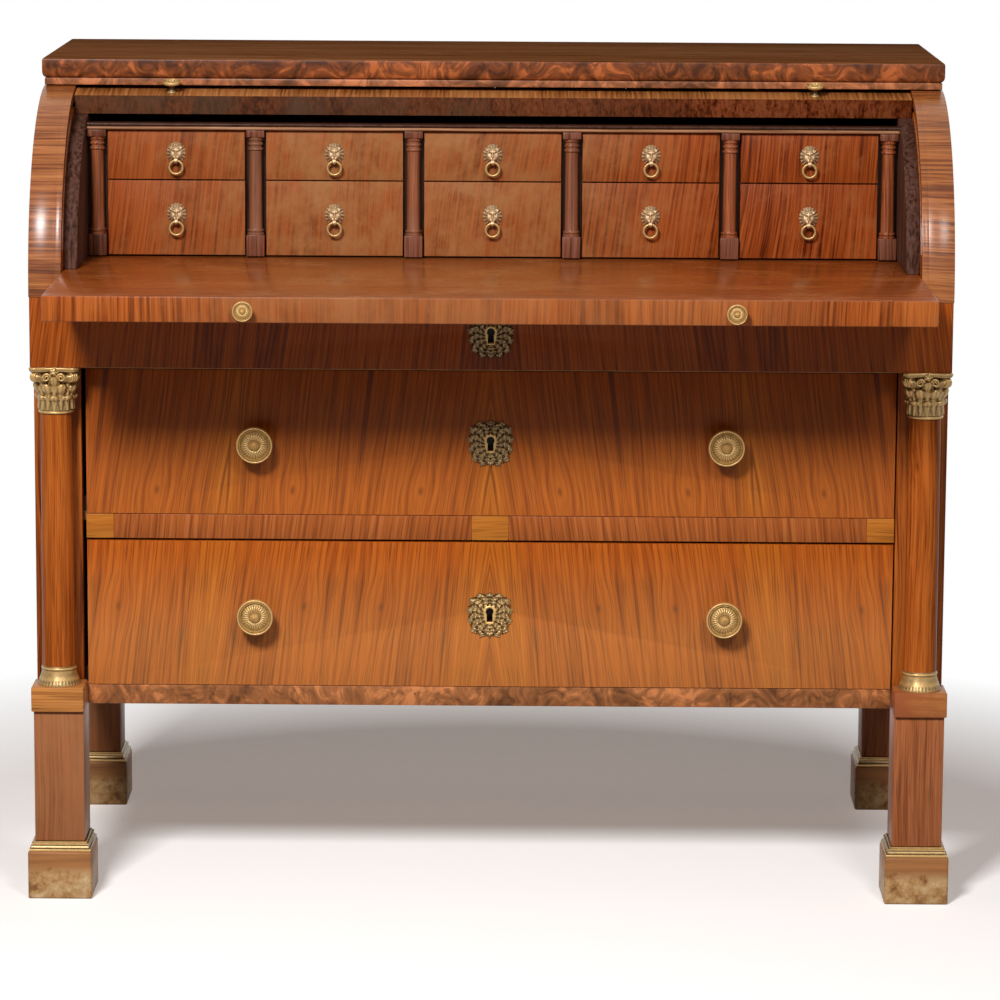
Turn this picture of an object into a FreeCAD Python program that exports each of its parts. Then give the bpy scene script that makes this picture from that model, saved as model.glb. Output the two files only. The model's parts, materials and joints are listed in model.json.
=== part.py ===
"""Cylinder desk: a quarter-cylinder fall over a pull-out writing slide, a nest of small drawers,
a frieze drawer and two long drawers between free-standing columns, on four square legs.

Millimetres, +Z up, +X to the sitter's right, -Y towards the sitter. The pieces are drawn with the
frieze's face at Y = 0 and the floor at Z = 0, then moved so that the origin is the middle of the floor box.
"""
import FreeCAD, Part
import math
import os

vec = FreeCAD.Vector

# Case
case_width = 1180.0
case_depth = 585.0
side_thickness = 41.5
side_radius = 247.0
back_thickness = 10.0
board_thickness = 12.0
frieze_board = 7.4
guide_width = 27.0
guide_height = 20.0
top_thickness = 28.0
top_edge_radius = 8.0
top_side_overhang = 2.0
top_back_overhang = 4.0
top_front_reach = 36.0
sub_top_thickness = 7.0
sub_top_front_reach = 33.0
sub_top_inset = 1.0

# Legs and feet
foot_height = 62.8
foot_ease = 3.0
foot_shoulder = 2.0
foot_overhang = 9.0
moulding_height = 12.8
moulding_foot_reach = 7.0
moulding_leg_reach = 1.5
moulding_bead = 3.5
leg_width = 65.0
leg_height = 172.9
leg_setback = 2.0
leg_inset = 32.5

# Columns and front frame
column_recess = 50.0
column_inset = 31.5
stile_thickness = 22.0
stile_width = 66.0
plinth_height = 32.5
plinth_width = 68.0
plinth_front_reach = 4.0
column_height = 417.3
column_top_diameter = 40.6
column_middle_diameter = 42.4
column_bottom_diameter = 43.0
base_height = 25.0
base_diameter = 56.0
base_torus = 7.0
base_neck = 3.0
capital_height = 61.3
capital_width = 64.0
abacus_height = 8.0
volute_diameter = 13.0
volute_length = 10.0
capital_leaves = 8
leaf_notch = 6.0
flower_diameter = 7.4
flower_reach = 3.2
bottom_rail_height = 25.4
lower_opening_height = 192.3
drawer_rail_height = 34.1

# Long drawers
frieze_height = 90.4
frieze_thickness = 22.0
front_thickness = 22.0
front_gap = 0.7
box_side = 12.0
box_back = 12.0
box_bottom = 8.0
box_bottom_rise = 5.0
box_rear_space = 15.0
box_top_space = 14.0
knob_spread = 608.0
knob_diameter = 47.5
knob_projection = 35.0
escutcheon_width = 58.0
escutcheon_thickness = 2.0
escutcheon_lobes = 12
keyhole_diameter = 9.4
keyhole_slot = 7.0
keyhole_height = 18.0
lock_width = 62.0
lock_height = 44.0
lock_depth = 11.0

# Writing slide
slide_out = 240.6
slide_depth = 480.0
slide_thickness = 32.0
slide_side_gap = 1.0
slide_lip = 58.0
slide_bed_thickness = 12.0
slide_knob_spread = 602.0
slide_knob_diameter = 25.0
slide_knob_projection = 20.0

# Cylinder fall, angles in degrees about its axis from the front upwards
axis_rise = 7.3
fall_inset = 4.0
fall_thickness = 26.0
fall_lift = 0.8
swing_angle = 69.5
rail_angle = 13.0
rear_angle = 94.0
stave_count = 9
tongue_inset = 8.0
tongue_thickness = 10.0
tongue_reach = 8.0
groove_slack_angle = 0.1
fall_knob_spread = 842.0
fall_knob_diameter = 24.0
fall_knob_projection = 18.0
fall_knob_rise = 14.0

# Nest of small drawers
nest_gap = 2.5
nest_lift = 0.6
cheek_thickness = 18.0
cornice_front = 172.0
cornice_height = 9.0
cornice_bead = 2.2
nest_face_setback = 7.0
nest_columns = 6
nest_board = 6.0
upright_width = 26.0
drawer_slot = 27.6
row_gap = 1.6
row_share = 0.599
shelf_rise = 1.0
small_front = 12.0
small_front_lift = 1.9
small_side = 6.0
small_bottom = 4.0
small_bottom_rise = 2.0
small_box_gap = 0.2
small_box_drop = 9.2
small_rear_space = 3.0
colonnette_diameter = 17.6
colonnette_top_diameter = 16.6
colonnette_width = 24.0
colonnette_lift = 1.3
colonnette_plinth = 28.0
colonnette_cap = 9.0
colonnette_ring = 3.2
colonnette_ring_reach = 2.2
colonnette_back_gap = 0.4

# Lion-mask ring pulls
mask_width = 25.6
mask_height = 29.4
mask_plate = 2.6
mane_lobes = 12
mane_lobe_diameter = 6.6
face_diameter = 19.0
face_depth = 8.0
muzzle_diameter = 10.0
muzzle_depth = 12.0
muzzle_rise = 7.7
ear_diameter = 5.0
jaw_width = 5.0
jaw_height = 6.4
jaw_depth = 11.6
mouth_drop = 9.5
ring_diameter = 17.5
ring_wire = 3.0
ring_bore = 4.0
ring_reach = 8.6
lower_pull_share = 0.455
upper_pull_share = 0.393

# Running clearances and cuts
running_gap = 0.4
slide_gap = 0.3
cut_overrun = 2.0

# Levels
leg_bottom = foot_height + moulding_height
case_bottom = leg_bottom + leg_height
plinth_top = case_bottom + plinth_height
frieze_bottom = plinth_top + column_height
stile_top = frieze_bottom - frieze_board
bed_top = frieze_bottom + frieze_height
bed_bottom = bed_top - slide_bed_thickness
slide_bottom = bed_top + slide_gap
slide_top = slide_bottom + slide_thickness
axis_z = bed_top + axis_rise
case_top = axis_z + side_radius
slab_bottom = case_top + sub_top_thickness
lower_bottom = case_bottom + bottom_rail_height
rail_bottom = lower_bottom + lower_opening_height
upper_bottom = rail_bottom + drawer_rail_height

# Places across and along the case
half_width = case_width / 2
inner_half = half_width - side_thickness
opening_half = half_width - stile_width
axis_y = side_radius
frieze_back = frieze_thickness + running_gap
stile_back = column_recess + stile_thickness
back_front = case_depth - back_thickness
leg_x = half_width - leg_inset
leg_depth = stile_back - leg_setback
column_x = half_width - column_inset
column_y = column_recess / 2
box_half = inner_half - guide_width - running_gap

# Cylinder radii and angles, with the fall closed
fall_radius = side_radius - fall_inset
inner_radius = fall_radius - fall_thickness
fall_half = inner_half - slide_side_gap
fall_bottom = slide_top + fall_lift
tongue_outer = fall_radius - tongue_inset
tongue_inner = tongue_outer - tongue_thickness
stave_angle = (rear_angle - rail_angle) / stave_count

# Nest places, kept inside the fall's inner face
nest_radius = inner_radius - nest_gap
cheek_radius = inner_radius - slide_gap
cheek_bottom = slide_top + nest_lift
nest_half = inner_half - cheek_thickness
nest_floor = cheek_bottom + nest_board
cornice_top = axis_z + math.sqrt(nest_radius ** 2 - (axis_y - cornice_front) ** 2)
nest_top = cornice_top - cornice_height
nest_back = axis_y + math.sqrt(nest_radius ** 2 - (nest_top - axis_z) ** 2)
nest_face = cornice_front + nest_face_setback
nest_front = nest_face + small_front + running_gap
row_low = cheek_bottom + small_front_lift
row_line = row_low + (nest_top - row_low) * row_share
shelf_top = row_line + shelf_rise
colonnette_y = nest_front - colonnette_back_gap - colonnette_diameter / 2
colonnette_pitch = (2 * nest_half - upright_width) / (nest_columns - 1)
small_width = colonnette_pitch - drawer_slot

# Middle of the floor box along Y
front_reach = slide_out + slide_knob_projection
rear_reach = case_depth + max(top_back_overhang, foot_overhang)
shift_y = (front_reach - rear_reach) / 2


def box(x0, x1, y0, y1, z0, z1):
    """Rectangular solid between two corners."""
    return Part.makeBox(x1 - x0, y1 - y0, z1 - z0, vec(x0, y0, z0))


def outline(start, *steps):
    """Closed face from a start point: a point is a straight run, a pair is an arc's middle and end."""
    edges = []
    here = start
    for step in steps:
        if isinstance(step, tuple):
            middle, there = step
            edges.append(Part.Arc(here, middle, there).toShape())
        else:
            there = step
            edges.append(Part.LineSegment(here, there).toShape())
        here = there
    edges.append(Part.LineSegment(here, start).toShape())
    return Part.Face(Part.Wire(edges))


def turned(face, place, axis):
    """Turned solid: the face holds radii along X and heights along Z, and the heights run along the axis."""
    solid = face.revolve(vec(0, 0, 0), vec(0, 0, 1), 360)
    solid.Placement = FreeCAD.Placement(place, FreeCAD.Rotation(vec(0, 0, 1), axis))
    return solid


def turned_steps(radii, heights):
    """Face for a turned piece from matching radii and heights, closed along its axis."""
    points = [vec(radius, 0, height) for radius, height in zip(radii, heights)]
    return outline(vec(0, 0, heights[0]), *points, vec(0, 0, heights[-1]))


def mirrored(solid):
    """The solid's twin on the other side of the desk's middle."""
    return solid.mirror(vec(0, 0, 0), vec(1, 0, 0))


def both(solid):
    """A solid and its twin on the other side."""
    return [solid, mirrored(solid)]


def fall_point(x, radius, angle):
    """Point at a radius and an angle about the fall's axis."""
    turn = math.radians(angle)
    return vec(x, axis_y - radius * math.cos(turn), axis_z + radius * math.sin(turn))


def sector(x0, x1, radius0, radius1, angle0, angle1):
    """Curved board between two radii and two angles about the fall's axis."""
    face = outline(fall_point(x0, radius0, angle0), fall_point(x1, radius0, angle0),
                   fall_point(x1, radius1, angle0), fall_point(x0, radius1, angle0))
    return face.revolve(vec(0, axis_y, axis_z), vec(-1, 0, 0), angle1 - angle0)


def opened(solid):
    """A piece of the closed fall, swung up and back to its open place."""
    solid.rotate(vec(0, axis_y, axis_z), vec(-1, 0, 0), swing_angle)
    return solid


def save(node, solids):
    """Write one node, with the origin at the middle of the floor box."""
    shape = Part.makeCompound(solids)
    shape.translate(vec(0, shift_y, 0))
    shape.exportStep("parts/" + node + ".step")


def side_board():
    """Right side: set back below the frieze, quarter-round above, with the groove that carries the fall."""
    high = math.sqrt(1 / 2) * side_radius
    face = outline(vec(inner_half, stile_back, case_bottom), vec(inner_half, stile_back, stile_top),
                   vec(inner_half, column_recess, stile_top), vec(inner_half, column_recess, frieze_bottom),
                   vec(inner_half, frieze_back, frieze_bottom), vec(inner_half, frieze_back, bed_top),
                   vec(inner_half, 0, bed_top), vec(inner_half, 0, axis_z),
                   (vec(inner_half, axis_y - high, axis_z + high), vec(inner_half, axis_y, case_top)),
                   vec(inner_half, case_depth, case_top), vec(inner_half, case_depth, case_bottom))
    board = face.extrude(vec(side_thickness, 0, 0))
    groove = sector(inner_half - cut_overrun, fall_half + tongue_reach + running_gap,
                    tongue_inner - slide_gap, tongue_outer + slide_gap,
                    rail_angle - groove_slack_angle, rear_angle + swing_angle + groove_slack_angle)
    return board.cut(groove)


def rounded_board(half_x, front, back, low, high, radius):
    """Board with its front and side edges rounded and mitred at the corners."""
    corner = radius * (1 - math.sqrt(1 / 2))
    along = outline(vec(-half_x, back, low), vec(-half_x, front + radius, low),
                    (vec(-half_x, front + corner, low + corner), vec(-half_x, front, low + radius)),
                    vec(-half_x, front, high - radius),
                    (vec(-half_x, front + corner, high - corner), vec(-half_x, front + radius, high)),
                    vec(-half_x, back, high))
    across = outline(vec(radius - half_x, front, low),
                     (vec(corner - half_x, front, low + corner), vec(-half_x, front, low + radius)),
                     vec(-half_x, front, high - radius),
                     (vec(corner - half_x, front, high - corner), vec(radius - half_x, front, high)),
                     vec(half_x - radius, front, high),
                     (vec(half_x - corner, front, high - corner), vec(half_x, front, high - radius)),
                     vec(half_x, front, low + radius),
                     (vec(half_x - corner, front, low + corner), vec(half_x - radius, front, low)))
    return along.extrude(vec(2 * half_x, 0, 0)).common(across.extrude(vec(0, back - front, 0)))


def top_boards():
    """Rounded top and the thinner board under it."""
    slab = rounded_board(half_width + top_side_overhang, axis_y - top_front_reach, case_depth + top_back_overhang,
                         slab_bottom, slab_bottom + top_thickness, top_edge_radius)
    frame = box(sub_top_inset - half_width, half_width - sub_top_inset,
                axis_y - sub_top_front_reach, case_depth, case_top, slab_bottom)
    return [slab, frame]


def case_boards():
    """Bottom, dust boards and the bed under the writing slide."""
    floors = [(stile_back, lower_bottom - board_thickness, lower_bottom),
              (stile_back, upper_bottom - board_thickness, upper_bottom),
              (column_recess, stile_top, frieze_bottom),
              (frieze_back, bed_bottom, bed_top)]
    return [box(-inner_half, inner_half, front, back_front, low, high) for front, low, high in floors]


def front_frame():
    """Two stiles, the rail between the long drawers and the bottom rail."""
    stile = box(opening_half, half_width, column_recess, stile_back, case_bottom, stile_top)
    rails = [box(-opening_half, opening_half, column_recess, stile_back, low, high)
             for low, high in ((case_bottom, lower_bottom), (rail_bottom, upper_bottom))]
    return both(stile) + rails


def drawer_guides():
    """Strips that keep the long drawers straight, on the boards beside the sides."""
    guides = []
    for front, floor in ((stile_back, lower_bottom), (stile_back, upper_bottom), (column_recess, frieze_bottom)):
        strip = box(inner_half - guide_width, inner_half, front, back_front, floor, floor + guide_height)
        guides += both(strip)
    return guides


def posts(reach, low, high):
    """Four square blocks on the leg centres, reaching past the legs by a given amount."""
    half = leg_width / 2 + reach
    blocks = []
    for front, back in ((leg_setback, stile_back), (case_depth - leg_depth, case_depth)):
        blocks += both(box(leg_x - half, leg_x + half, front - reach, back + reach, low, high))
    return blocks


def leg_blocks():
    """Four legs, and the two plinths that stand on the front pair."""
    plinth = box(column_x - plinth_width / 2, column_x + plinth_width / 2,
                 -plinth_front_reach, column_recess, case_bottom, plinth_top)
    return posts(0, leg_bottom, case_bottom) + both(plinth)


def foot_blocks():
    """Four foot blocks, with eased lower edges and small shoulders."""
    blocks = []
    for block in posts(foot_overhang, 0, foot_height):
        lower = [edge for edge in block.Edges if edge.BoundBox.ZMax < foot_ease]
        block = block.makeChamfer(foot_ease, lower)
        upper = [edge for edge in block.Edges if edge.BoundBox.ZMin > foot_height - foot_shoulder]
        blocks.append(block.makeChamfer(foot_shoulder, upper))
    return blocks


def moulding_bar(half, reach):
    """Foot moulding's section, a bead below a hollow on both sides, run along Y."""
    foot = half + moulding_foot_reach
    leg = half + moulding_leg_reach
    high = foot_height + moulding_height
    step = foot_height + moulding_bead
    sag_x = leg + (foot - leg) * (1 - math.sqrt(1 / 2))
    sag_z = step + (high - step) * (1 - math.sqrt(1 / 2))
    face = outline(vec(-foot, -reach, foot_height), vec(foot, -reach, foot_height), vec(foot, -reach, step),
                   (vec(sag_x, -reach, sag_z), vec(leg, -reach, high)), vec(-leg, -reach, high),
                   (vec(-sag_x, -reach, sag_z), vec(-foot, -reach, step)))
    return face.extrude(vec(0, 2 * reach, 0))


def foot_mouldings():
    """Mitred hollow mouldings between the foot blocks and the legs."""
    reach = leg_depth + leg_width
    across = moulding_bar(leg_width / 2, reach)
    along = moulding_bar(leg_depth / 2, reach)
    along.rotate(vec(0, 0, 0), vec(0, 0, 1), 90)
    block = across.common(along)
    solids = []
    for middle in (leg_setback + leg_depth / 2, case_depth - leg_depth / 2):
        solid = block.copy()
        solid.translate(vec(leg_x, middle, 0))
        solids += both(solid)
    return solids


def clear_of_stile(solid):
    """A column's mount, cut flat where it meets the stile."""
    reach = capital_width
    stile = box(column_x - reach, column_x + reach, column_recess, column_recess + reach,
                case_bottom, case_top)
    return solid.cut(stile).removeSplitter()


def column_shafts():
    """Two tapering shafts with a slight swell."""
    low = plinth_top + base_height
    high = frieze_bottom - capital_height
    middle = vec(column_middle_diameter / 2, 0, (low + high) / 2)
    face = outline(vec(0, 0, low), vec(column_bottom_diameter / 2, 0, low),
                   (middle, vec(column_top_diameter / 2, 0, high)), vec(0, 0, high))
    return both(turned(face, vec(column_x, column_y, 0), vec(0, 0, 1)))


def column_bases():
    """Two turned bases: a round torus, a hollow and a neck ring."""
    torus = base_diameter / 2
    inner = torus - base_torus / 2
    neck = column_bottom_diameter / 2 + base_neck / 2
    low = plinth_top
    high = plinth_top + base_height
    step = low + base_torus
    ring = high - base_neck
    sag_r = neck + (inner - neck) * (1 - math.sqrt(1 / 2))
    sag_z = step + (ring - step) * (1 - math.sqrt(1 / 2))
    face = outline(vec(0, 0, low), vec(inner, 0, low),
                   (vec(torus, 0, low + base_torus / 2), vec(inner, 0, step)),
                   (vec(sag_r, 0, sag_z), vec(neck, 0, ring)),
                   (vec(neck + base_neck / 2, 0, high - base_neck / 2), vec(neck, 0, high)), vec(0, 0, high))
    base = turned(face, vec(column_x, column_y, 0), vec(0, 0, 1))
    return both(clear_of_stile(base))


def capital_bell():
    """Bell of the capital: neck ring and two tiers of leaves, with the upper tier set half a leaf round."""
    low = frieze_bottom - capital_height
    neck = column_top_diameter / 2
    lip = capital_width / 2
    radius_shares = (0.02, 0.18, 0.02, 0.10, 0.56, 0.30, 0.34, 0.78, 0.50, 0.60, 0.86)
    height_shares = (0.0, 0.03, 0.06, 0.20, 0.38, 0.42, 0.50, 0.66, 0.70, 0.78, 0.90)
    radii = [neck + share * (lip - neck) for share in radius_shares]
    heights = [low + share * capital_height for share in height_shares]
    bell = turned(turned_steps(radii, heights), vec(column_x, column_y, 0), vec(0, 0, 1))
    for bottom, top, edge, first in ((heights[2], heights[5], radii[4], 1 / 2), (heights[6], heights[8], radii[7], 0)):
        for leaf in range(capital_leaves):
            angle = 2 * math.pi * (leaf + first) / capital_leaves
            foot = vec(column_x + edge * math.cos(angle), column_y + edge * math.sin(angle), bottom)
            bell = bell.cut(Part.makeCylinder(leaf_notch / 2, top - bottom, foot, vec(0, 0, 1)))
    return bell


def capital_abacus():
    """Hollow-sided abacus with clipped corners and a flower in the middle of each side."""
    clip_share = 0.84
    hollow_share = 0.88
    half = capital_width / 2
    centre = vec(column_x, column_y, frieze_bottom - abacus_height)
    sides = []
    for turn in range(4):
        across = vec(math.cos(turn * math.pi / 2), math.sin(turn * math.pi / 2), 0)
        along = vec(-across.y, across.x, 0)
        begin = centre + across * half - along * (half * clip_share)
        end = centre + across * half + along * (half * clip_share)
        sides.append((begin, centre + across * (half * hollow_share), end))
    steps = []
    for begin, middle, end in sides:
        steps += [begin, (middle, end)]
    abacus = outline(steps[0], *steps[1:]).extrude(vec(0, 0, abacus_height))
    for begin, middle, end in sides:
        out = middle - centre
        out.normalize()
        start = middle - out * flower_reach + vec(0, 0, abacus_height / 2)
        abacus = abacus.fuse(Part.makeCylinder(flower_diameter / 2, 2 * flower_reach, start, out))
    return abacus


def column_capitals():
    """Two capitals: bell, abacus and corner scrolls, flat where they meet the stile."""
    corner_share = 1.02
    solid = capital_bell().fuse(capital_abacus())
    scroll_z = frieze_bottom - abacus_height - volute_diameter / 2
    for turn in range(4):
        angle = math.pi / 4 + turn * math.pi / 2
        out = vec(math.cos(angle), math.sin(angle), 0)
        side = vec(-out.y, out.x, 0)
        centre = vec(column_x, column_y, scroll_z) + out * (corner_share * capital_width / 2)
        start = centre - side * (volute_length / 2)
        solid = solid.fuse(Part.makeCylinder(volute_diameter / 2, volute_length, start, side))
    return both(clear_of_stile(solid))


def keyhole(centre_z, front, back):
    """Cutter for a keyhole through a drawer front or its escutcheon."""
    eye_z = centre_z + (keyhole_height - keyhole_diameter) / 2
    eye = Part.makeCylinder(keyhole_diameter / 2, back - front, vec(0, front, eye_z), vec(0, 1, 0))
    slot = box(-keyhole_slot / 2, keyhole_slot / 2, front, back, centre_z - keyhole_height / 2, eye_z)
    return eye.fuse(slot)


def escutcheon(centre_z, face_y):
    """Pierced escutcheon: a squarish shield with a lobed edge, a ring of piercings and the keyhole."""
    disc_share = 0.40
    lobe_share = 0.085
    pierced_share = 0.042
    inset_share = 0.125
    squareness = 3.2
    front = face_y - escutcheon_thickness
    inward = vec(0, 1, 0)
    plate = Part.makeCylinder(disc_share * escutcheon_width, escutcheon_thickness, vec(0, front, centre_z), inward)
    holes = keyhole(centre_z, front - cut_overrun, face_y + cut_overrun)
    for lobe in range(escutcheon_lobes):
        angle = 2 * math.pi * (lobe + 1 / 2) / escutcheon_lobes
        out = vec(math.cos(angle), 0, math.sin(angle))
        square = (abs(out.x) ** squareness + abs(out.z) ** squareness) ** (-1 / squareness)
        ring = square * (escutcheon_width / 2 - lobe_share * escutcheon_width)
        centre = vec(0, front, centre_z) + out * ring
        plate = plate.fuse(Part.makeCylinder(lobe_share * escutcheon_width, escutcheon_thickness, centre, inward))
        start = centre - out * (inset_share * escutcheon_width) - inward * cut_overrun
        holes = holes.fuse(Part.makeCylinder(pierced_share * escutcheon_width,
                                             escutcheon_thickness + 2 * cut_overrun, start, inward))
    return plate.cut(holes).removeSplitter()


def drawer_lock(centre_z, face_y, thickness):
    """Escutcheon on the front and the lock case behind it."""
    behind = face_y + thickness
    case = box(-lock_width / 2, lock_width / 2, behind, behind + lock_depth,
               centre_z - lock_height / 2, centre_z + lock_height / 2)
    return [escutcheon(centre_z, face_y), case]


def drawer_box(half, front, back, low, high, side, rear, bottom, rise):
    """Two sides, a back and a bottom, as separate boards."""
    wall = box(half - side, half, front, back, low, high)
    end = box(side - half, half - side, back - rear, back, low, high)
    floor = box(side - half, half - side, front, back - rear, low + rise, low + rise + bottom)
    return both(wall) + [end, floor]


def long_drawer(half, face_y, thickness, low, high, floor, ceiling, lock_z):
    """Long drawer: its front with the keyhole, and its box."""
    behind = face_y + thickness
    front = box(-half, half, face_y, behind, low, high)
    front = front.cut(keyhole(lock_z, face_y - cut_overrun, behind + cut_overrun))
    rest = drawer_box(box_half, behind, back_front - box_rear_space, floor + slide_gap, ceiling - box_top_space,
                      box_side, box_back, box_bottom, box_bottom_rise)
    return [front] + rest


def knob_face(diameter, projection):
    """Section of a rosette knob: foot ring, stem, rimmed disc and raised centre."""
    radius_shares = (0.46, 0.46, 0.30, 0.30, 0.86, 1.0, 1.0, 0.84, 0.80, 0.44, 0.38, 0.20)
    height_shares = (0.0, 0.10, 0.18, 0.52, 0.60, 0.68, 0.86, 0.94, 0.86, 0.90, 0.98, 1.0)
    radii = [share * diameter / 2 for share in radius_shares]
    heights = [share * projection for share in height_shares]
    return turned_steps(radii, heights)


def front_knobs(spread, face_y, centre_z, diameter, projection):
    """A pair of rosette knobs on a front."""
    knob = turned(knob_face(diameter, projection), vec(spread / 2, face_y, centre_z), vec(0, -1, 0))
    return both(knob)


def writing_slide():
    """Writing board and the lip along its front edge."""
    front = -slide_out
    lip = box(-fall_half, fall_half, front, front + slide_lip, slide_bottom, slide_top)
    board = box(-fall_half, fall_half, front + slide_lip, front + slide_depth, slide_bottom, slide_top)
    return [lip, board]


def fall_staves():
    """Coopered staves of the fall, each with the tongues that run in the sides' grooves."""
    staves = []
    for index in range(stave_count):
        low = rail_angle + index * stave_angle
        high = low + stave_angle
        stave = sector(-fall_half, fall_half, inner_radius, fall_radius, low, high)
        tongue = sector(fall_half, fall_half + tongue_reach, tongue_inner, tongue_outer, low, high)
        staves.append(opened(stave.fuse(both(tongue)).removeSplitter()))
    return staves


def fall_rail():
    """Rail along the fall's leading edge, flat where it meets the writing slide."""
    rail = sector(-fall_half, fall_half, inner_radius, fall_radius, 0, rail_angle)
    below = box(-half_width, half_width, 0, axis_y, axis_z - side_radius, fall_bottom)
    return [opened(rail.cut(below))]


def fall_knobs():
    """Two small knobs on the fall's outer face near its leading edge, with their feet cut to the curve."""
    low = math.degrees(math.asin((fall_bottom - axis_z) / fall_radius))
    angle = low + math.degrees(fall_knob_rise / fall_radius)
    centre = vec(fall_knob_spread / 2, axis_y, axis_z)
    seat = fall_point(fall_knob_spread / 2, fall_radius, angle)
    out = (seat - centre).normalize()
    knob = turned(knob_face(fall_knob_diameter, fall_knob_projection), seat, out)
    foot = Part.makeCylinder(fall_knob_diameter / 6, cut_overrun, seat - out * cut_overrun, out)
    drum = Part.makeCylinder(fall_radius, case_width, vec(-half_width, axis_y, axis_z), vec(1, 0, 0))
    return both(opened(knob.fuse(foot).cut(drum).removeSplitter()))


def fall_cheeks():
    """Half-round cheek boards inside the sides, on which the fall's inner face runs."""
    run = math.sqrt(cheek_radius ** 2 - (cheek_bottom - axis_z) ** 2)
    face = outline(vec(nest_half, axis_y + run, cheek_bottom),
                   (vec(nest_half, axis_y, axis_z + cheek_radius), vec(nest_half, axis_y - run, cheek_bottom)))
    return both(face.extrude(vec(cheek_thickness, 0, 0)))


def colonnette_places():
    """Places of the colonnettes across the nest."""
    first = upright_width / 2 - nest_half
    return [first + index * colonnette_pitch for index in range(nest_columns)]


def nest_case():
    """Floor, top, back, uprights and the shelves between them."""
    back = nest_back - nest_board
    ceiling = nest_top - nest_board
    places = colonnette_places()
    boards = [box(-nest_half, nest_half, nest_front, nest_back, cheek_bottom, nest_floor),
              box(-nest_half, nest_half, nest_front, nest_back, ceiling, nest_top),
              box(-nest_half, nest_half, back, nest_back, nest_floor, ceiling)]
    for place in places:
        boards.append(box(place - upright_width / 2, place + upright_width / 2, nest_front, back,
                          nest_floor, ceiling))
    for left, right in zip(places[:-1], places[1:]):
        boards.append(box(left + upright_width / 2, right - upright_width / 2, nest_front, back,
                          shelf_top - nest_board, shelf_top))
    return boards


def nest_cornice():
    """Moulded cornice over the nest: two round beads with a flat between them."""
    flat = cornice_front + cornice_bead
    low_end = nest_top + 2 * cornice_bead
    high_start = cornice_top - 2 * cornice_bead
    face = outline(vec(-nest_half, nest_front, nest_top), vec(-nest_half, flat, nest_top),
                   (vec(-nest_half, cornice_front, nest_top + cornice_bead), vec(-nest_half, flat, low_end)),
                   vec(-nest_half, flat, high_start),
                   (vec(-nest_half, cornice_front, high_start + cornice_bead), vec(-nest_half, flat, cornice_top)),
                   vec(-nest_half, nest_front, cornice_top))
    return [face.extrude(vec(2 * nest_half, 0, 0))]


def colonnette(place):
    """Turned colonnette between a square plinth and a square cap, both fixed to an upright."""
    half = colonnette_width / 2
    front = colonnette_y - half
    low = cheek_bottom + colonnette_lift
    plinth_high = low + colonnette_plinth
    cap_low = nest_top - colonnette_cap
    plinth = box(place - half, place + half, front, nest_front, low, plinth_high)
    cap = box(place - half, place + half, front, nest_front, cap_low, nest_top)
    foot = colonnette_diameter / 2
    neck = colonnette_top_diameter / 2
    bulge = foot + colonnette_ring_reach
    collar = neck + colonnette_ring_reach
    radii = [bulge, bulge, foot, bulge, foot, neck, collar, neck, collar, neck, collar]
    ring = colonnette_ring
    heights = [plinth_high, plinth_high + ring, plinth_high + ring, plinth_high + 2 * ring, plinth_high + 3 * ring,
               cap_low - 5 * ring, cap_low - 4 * ring, cap_low - 3 * ring, cap_low - 2 * ring, cap_low - ring, cap_low]
    shaft = turned(turned_steps(radii, heights), vec(place, colonnette_y, 0), vec(0, 0, 1))
    wall = box(place - half, place + half, nest_front, nest_front + half, low, nest_top)
    return plinth.fuse([shaft, cap]).cut(wall).removeSplitter()


def small_places():
    """Middle of each column of small drawers."""
    places = colonnette_places()
    return [(left + right) / 2 for left, right in zip(places[:-1], places[1:])]


def small_drawer(middle, low, high, floor):
    """Small drawer of the nest: a front and a thin box behind it."""
    behind = nest_face + small_front
    back = nest_back - nest_board - small_rear_space
    front = box(-small_width / 2, small_width / 2, nest_face, behind, low, high)
    rest = drawer_box(small_width / 2 - small_box_gap, behind, back, floor + slide_gap, high - small_box_drop,
                      small_side, small_side, small_bottom, small_bottom_rise)
    solids = [front] + rest
    for solid in solids:
        solid.translate(vec(middle, 0, 0))
    return solids


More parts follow.
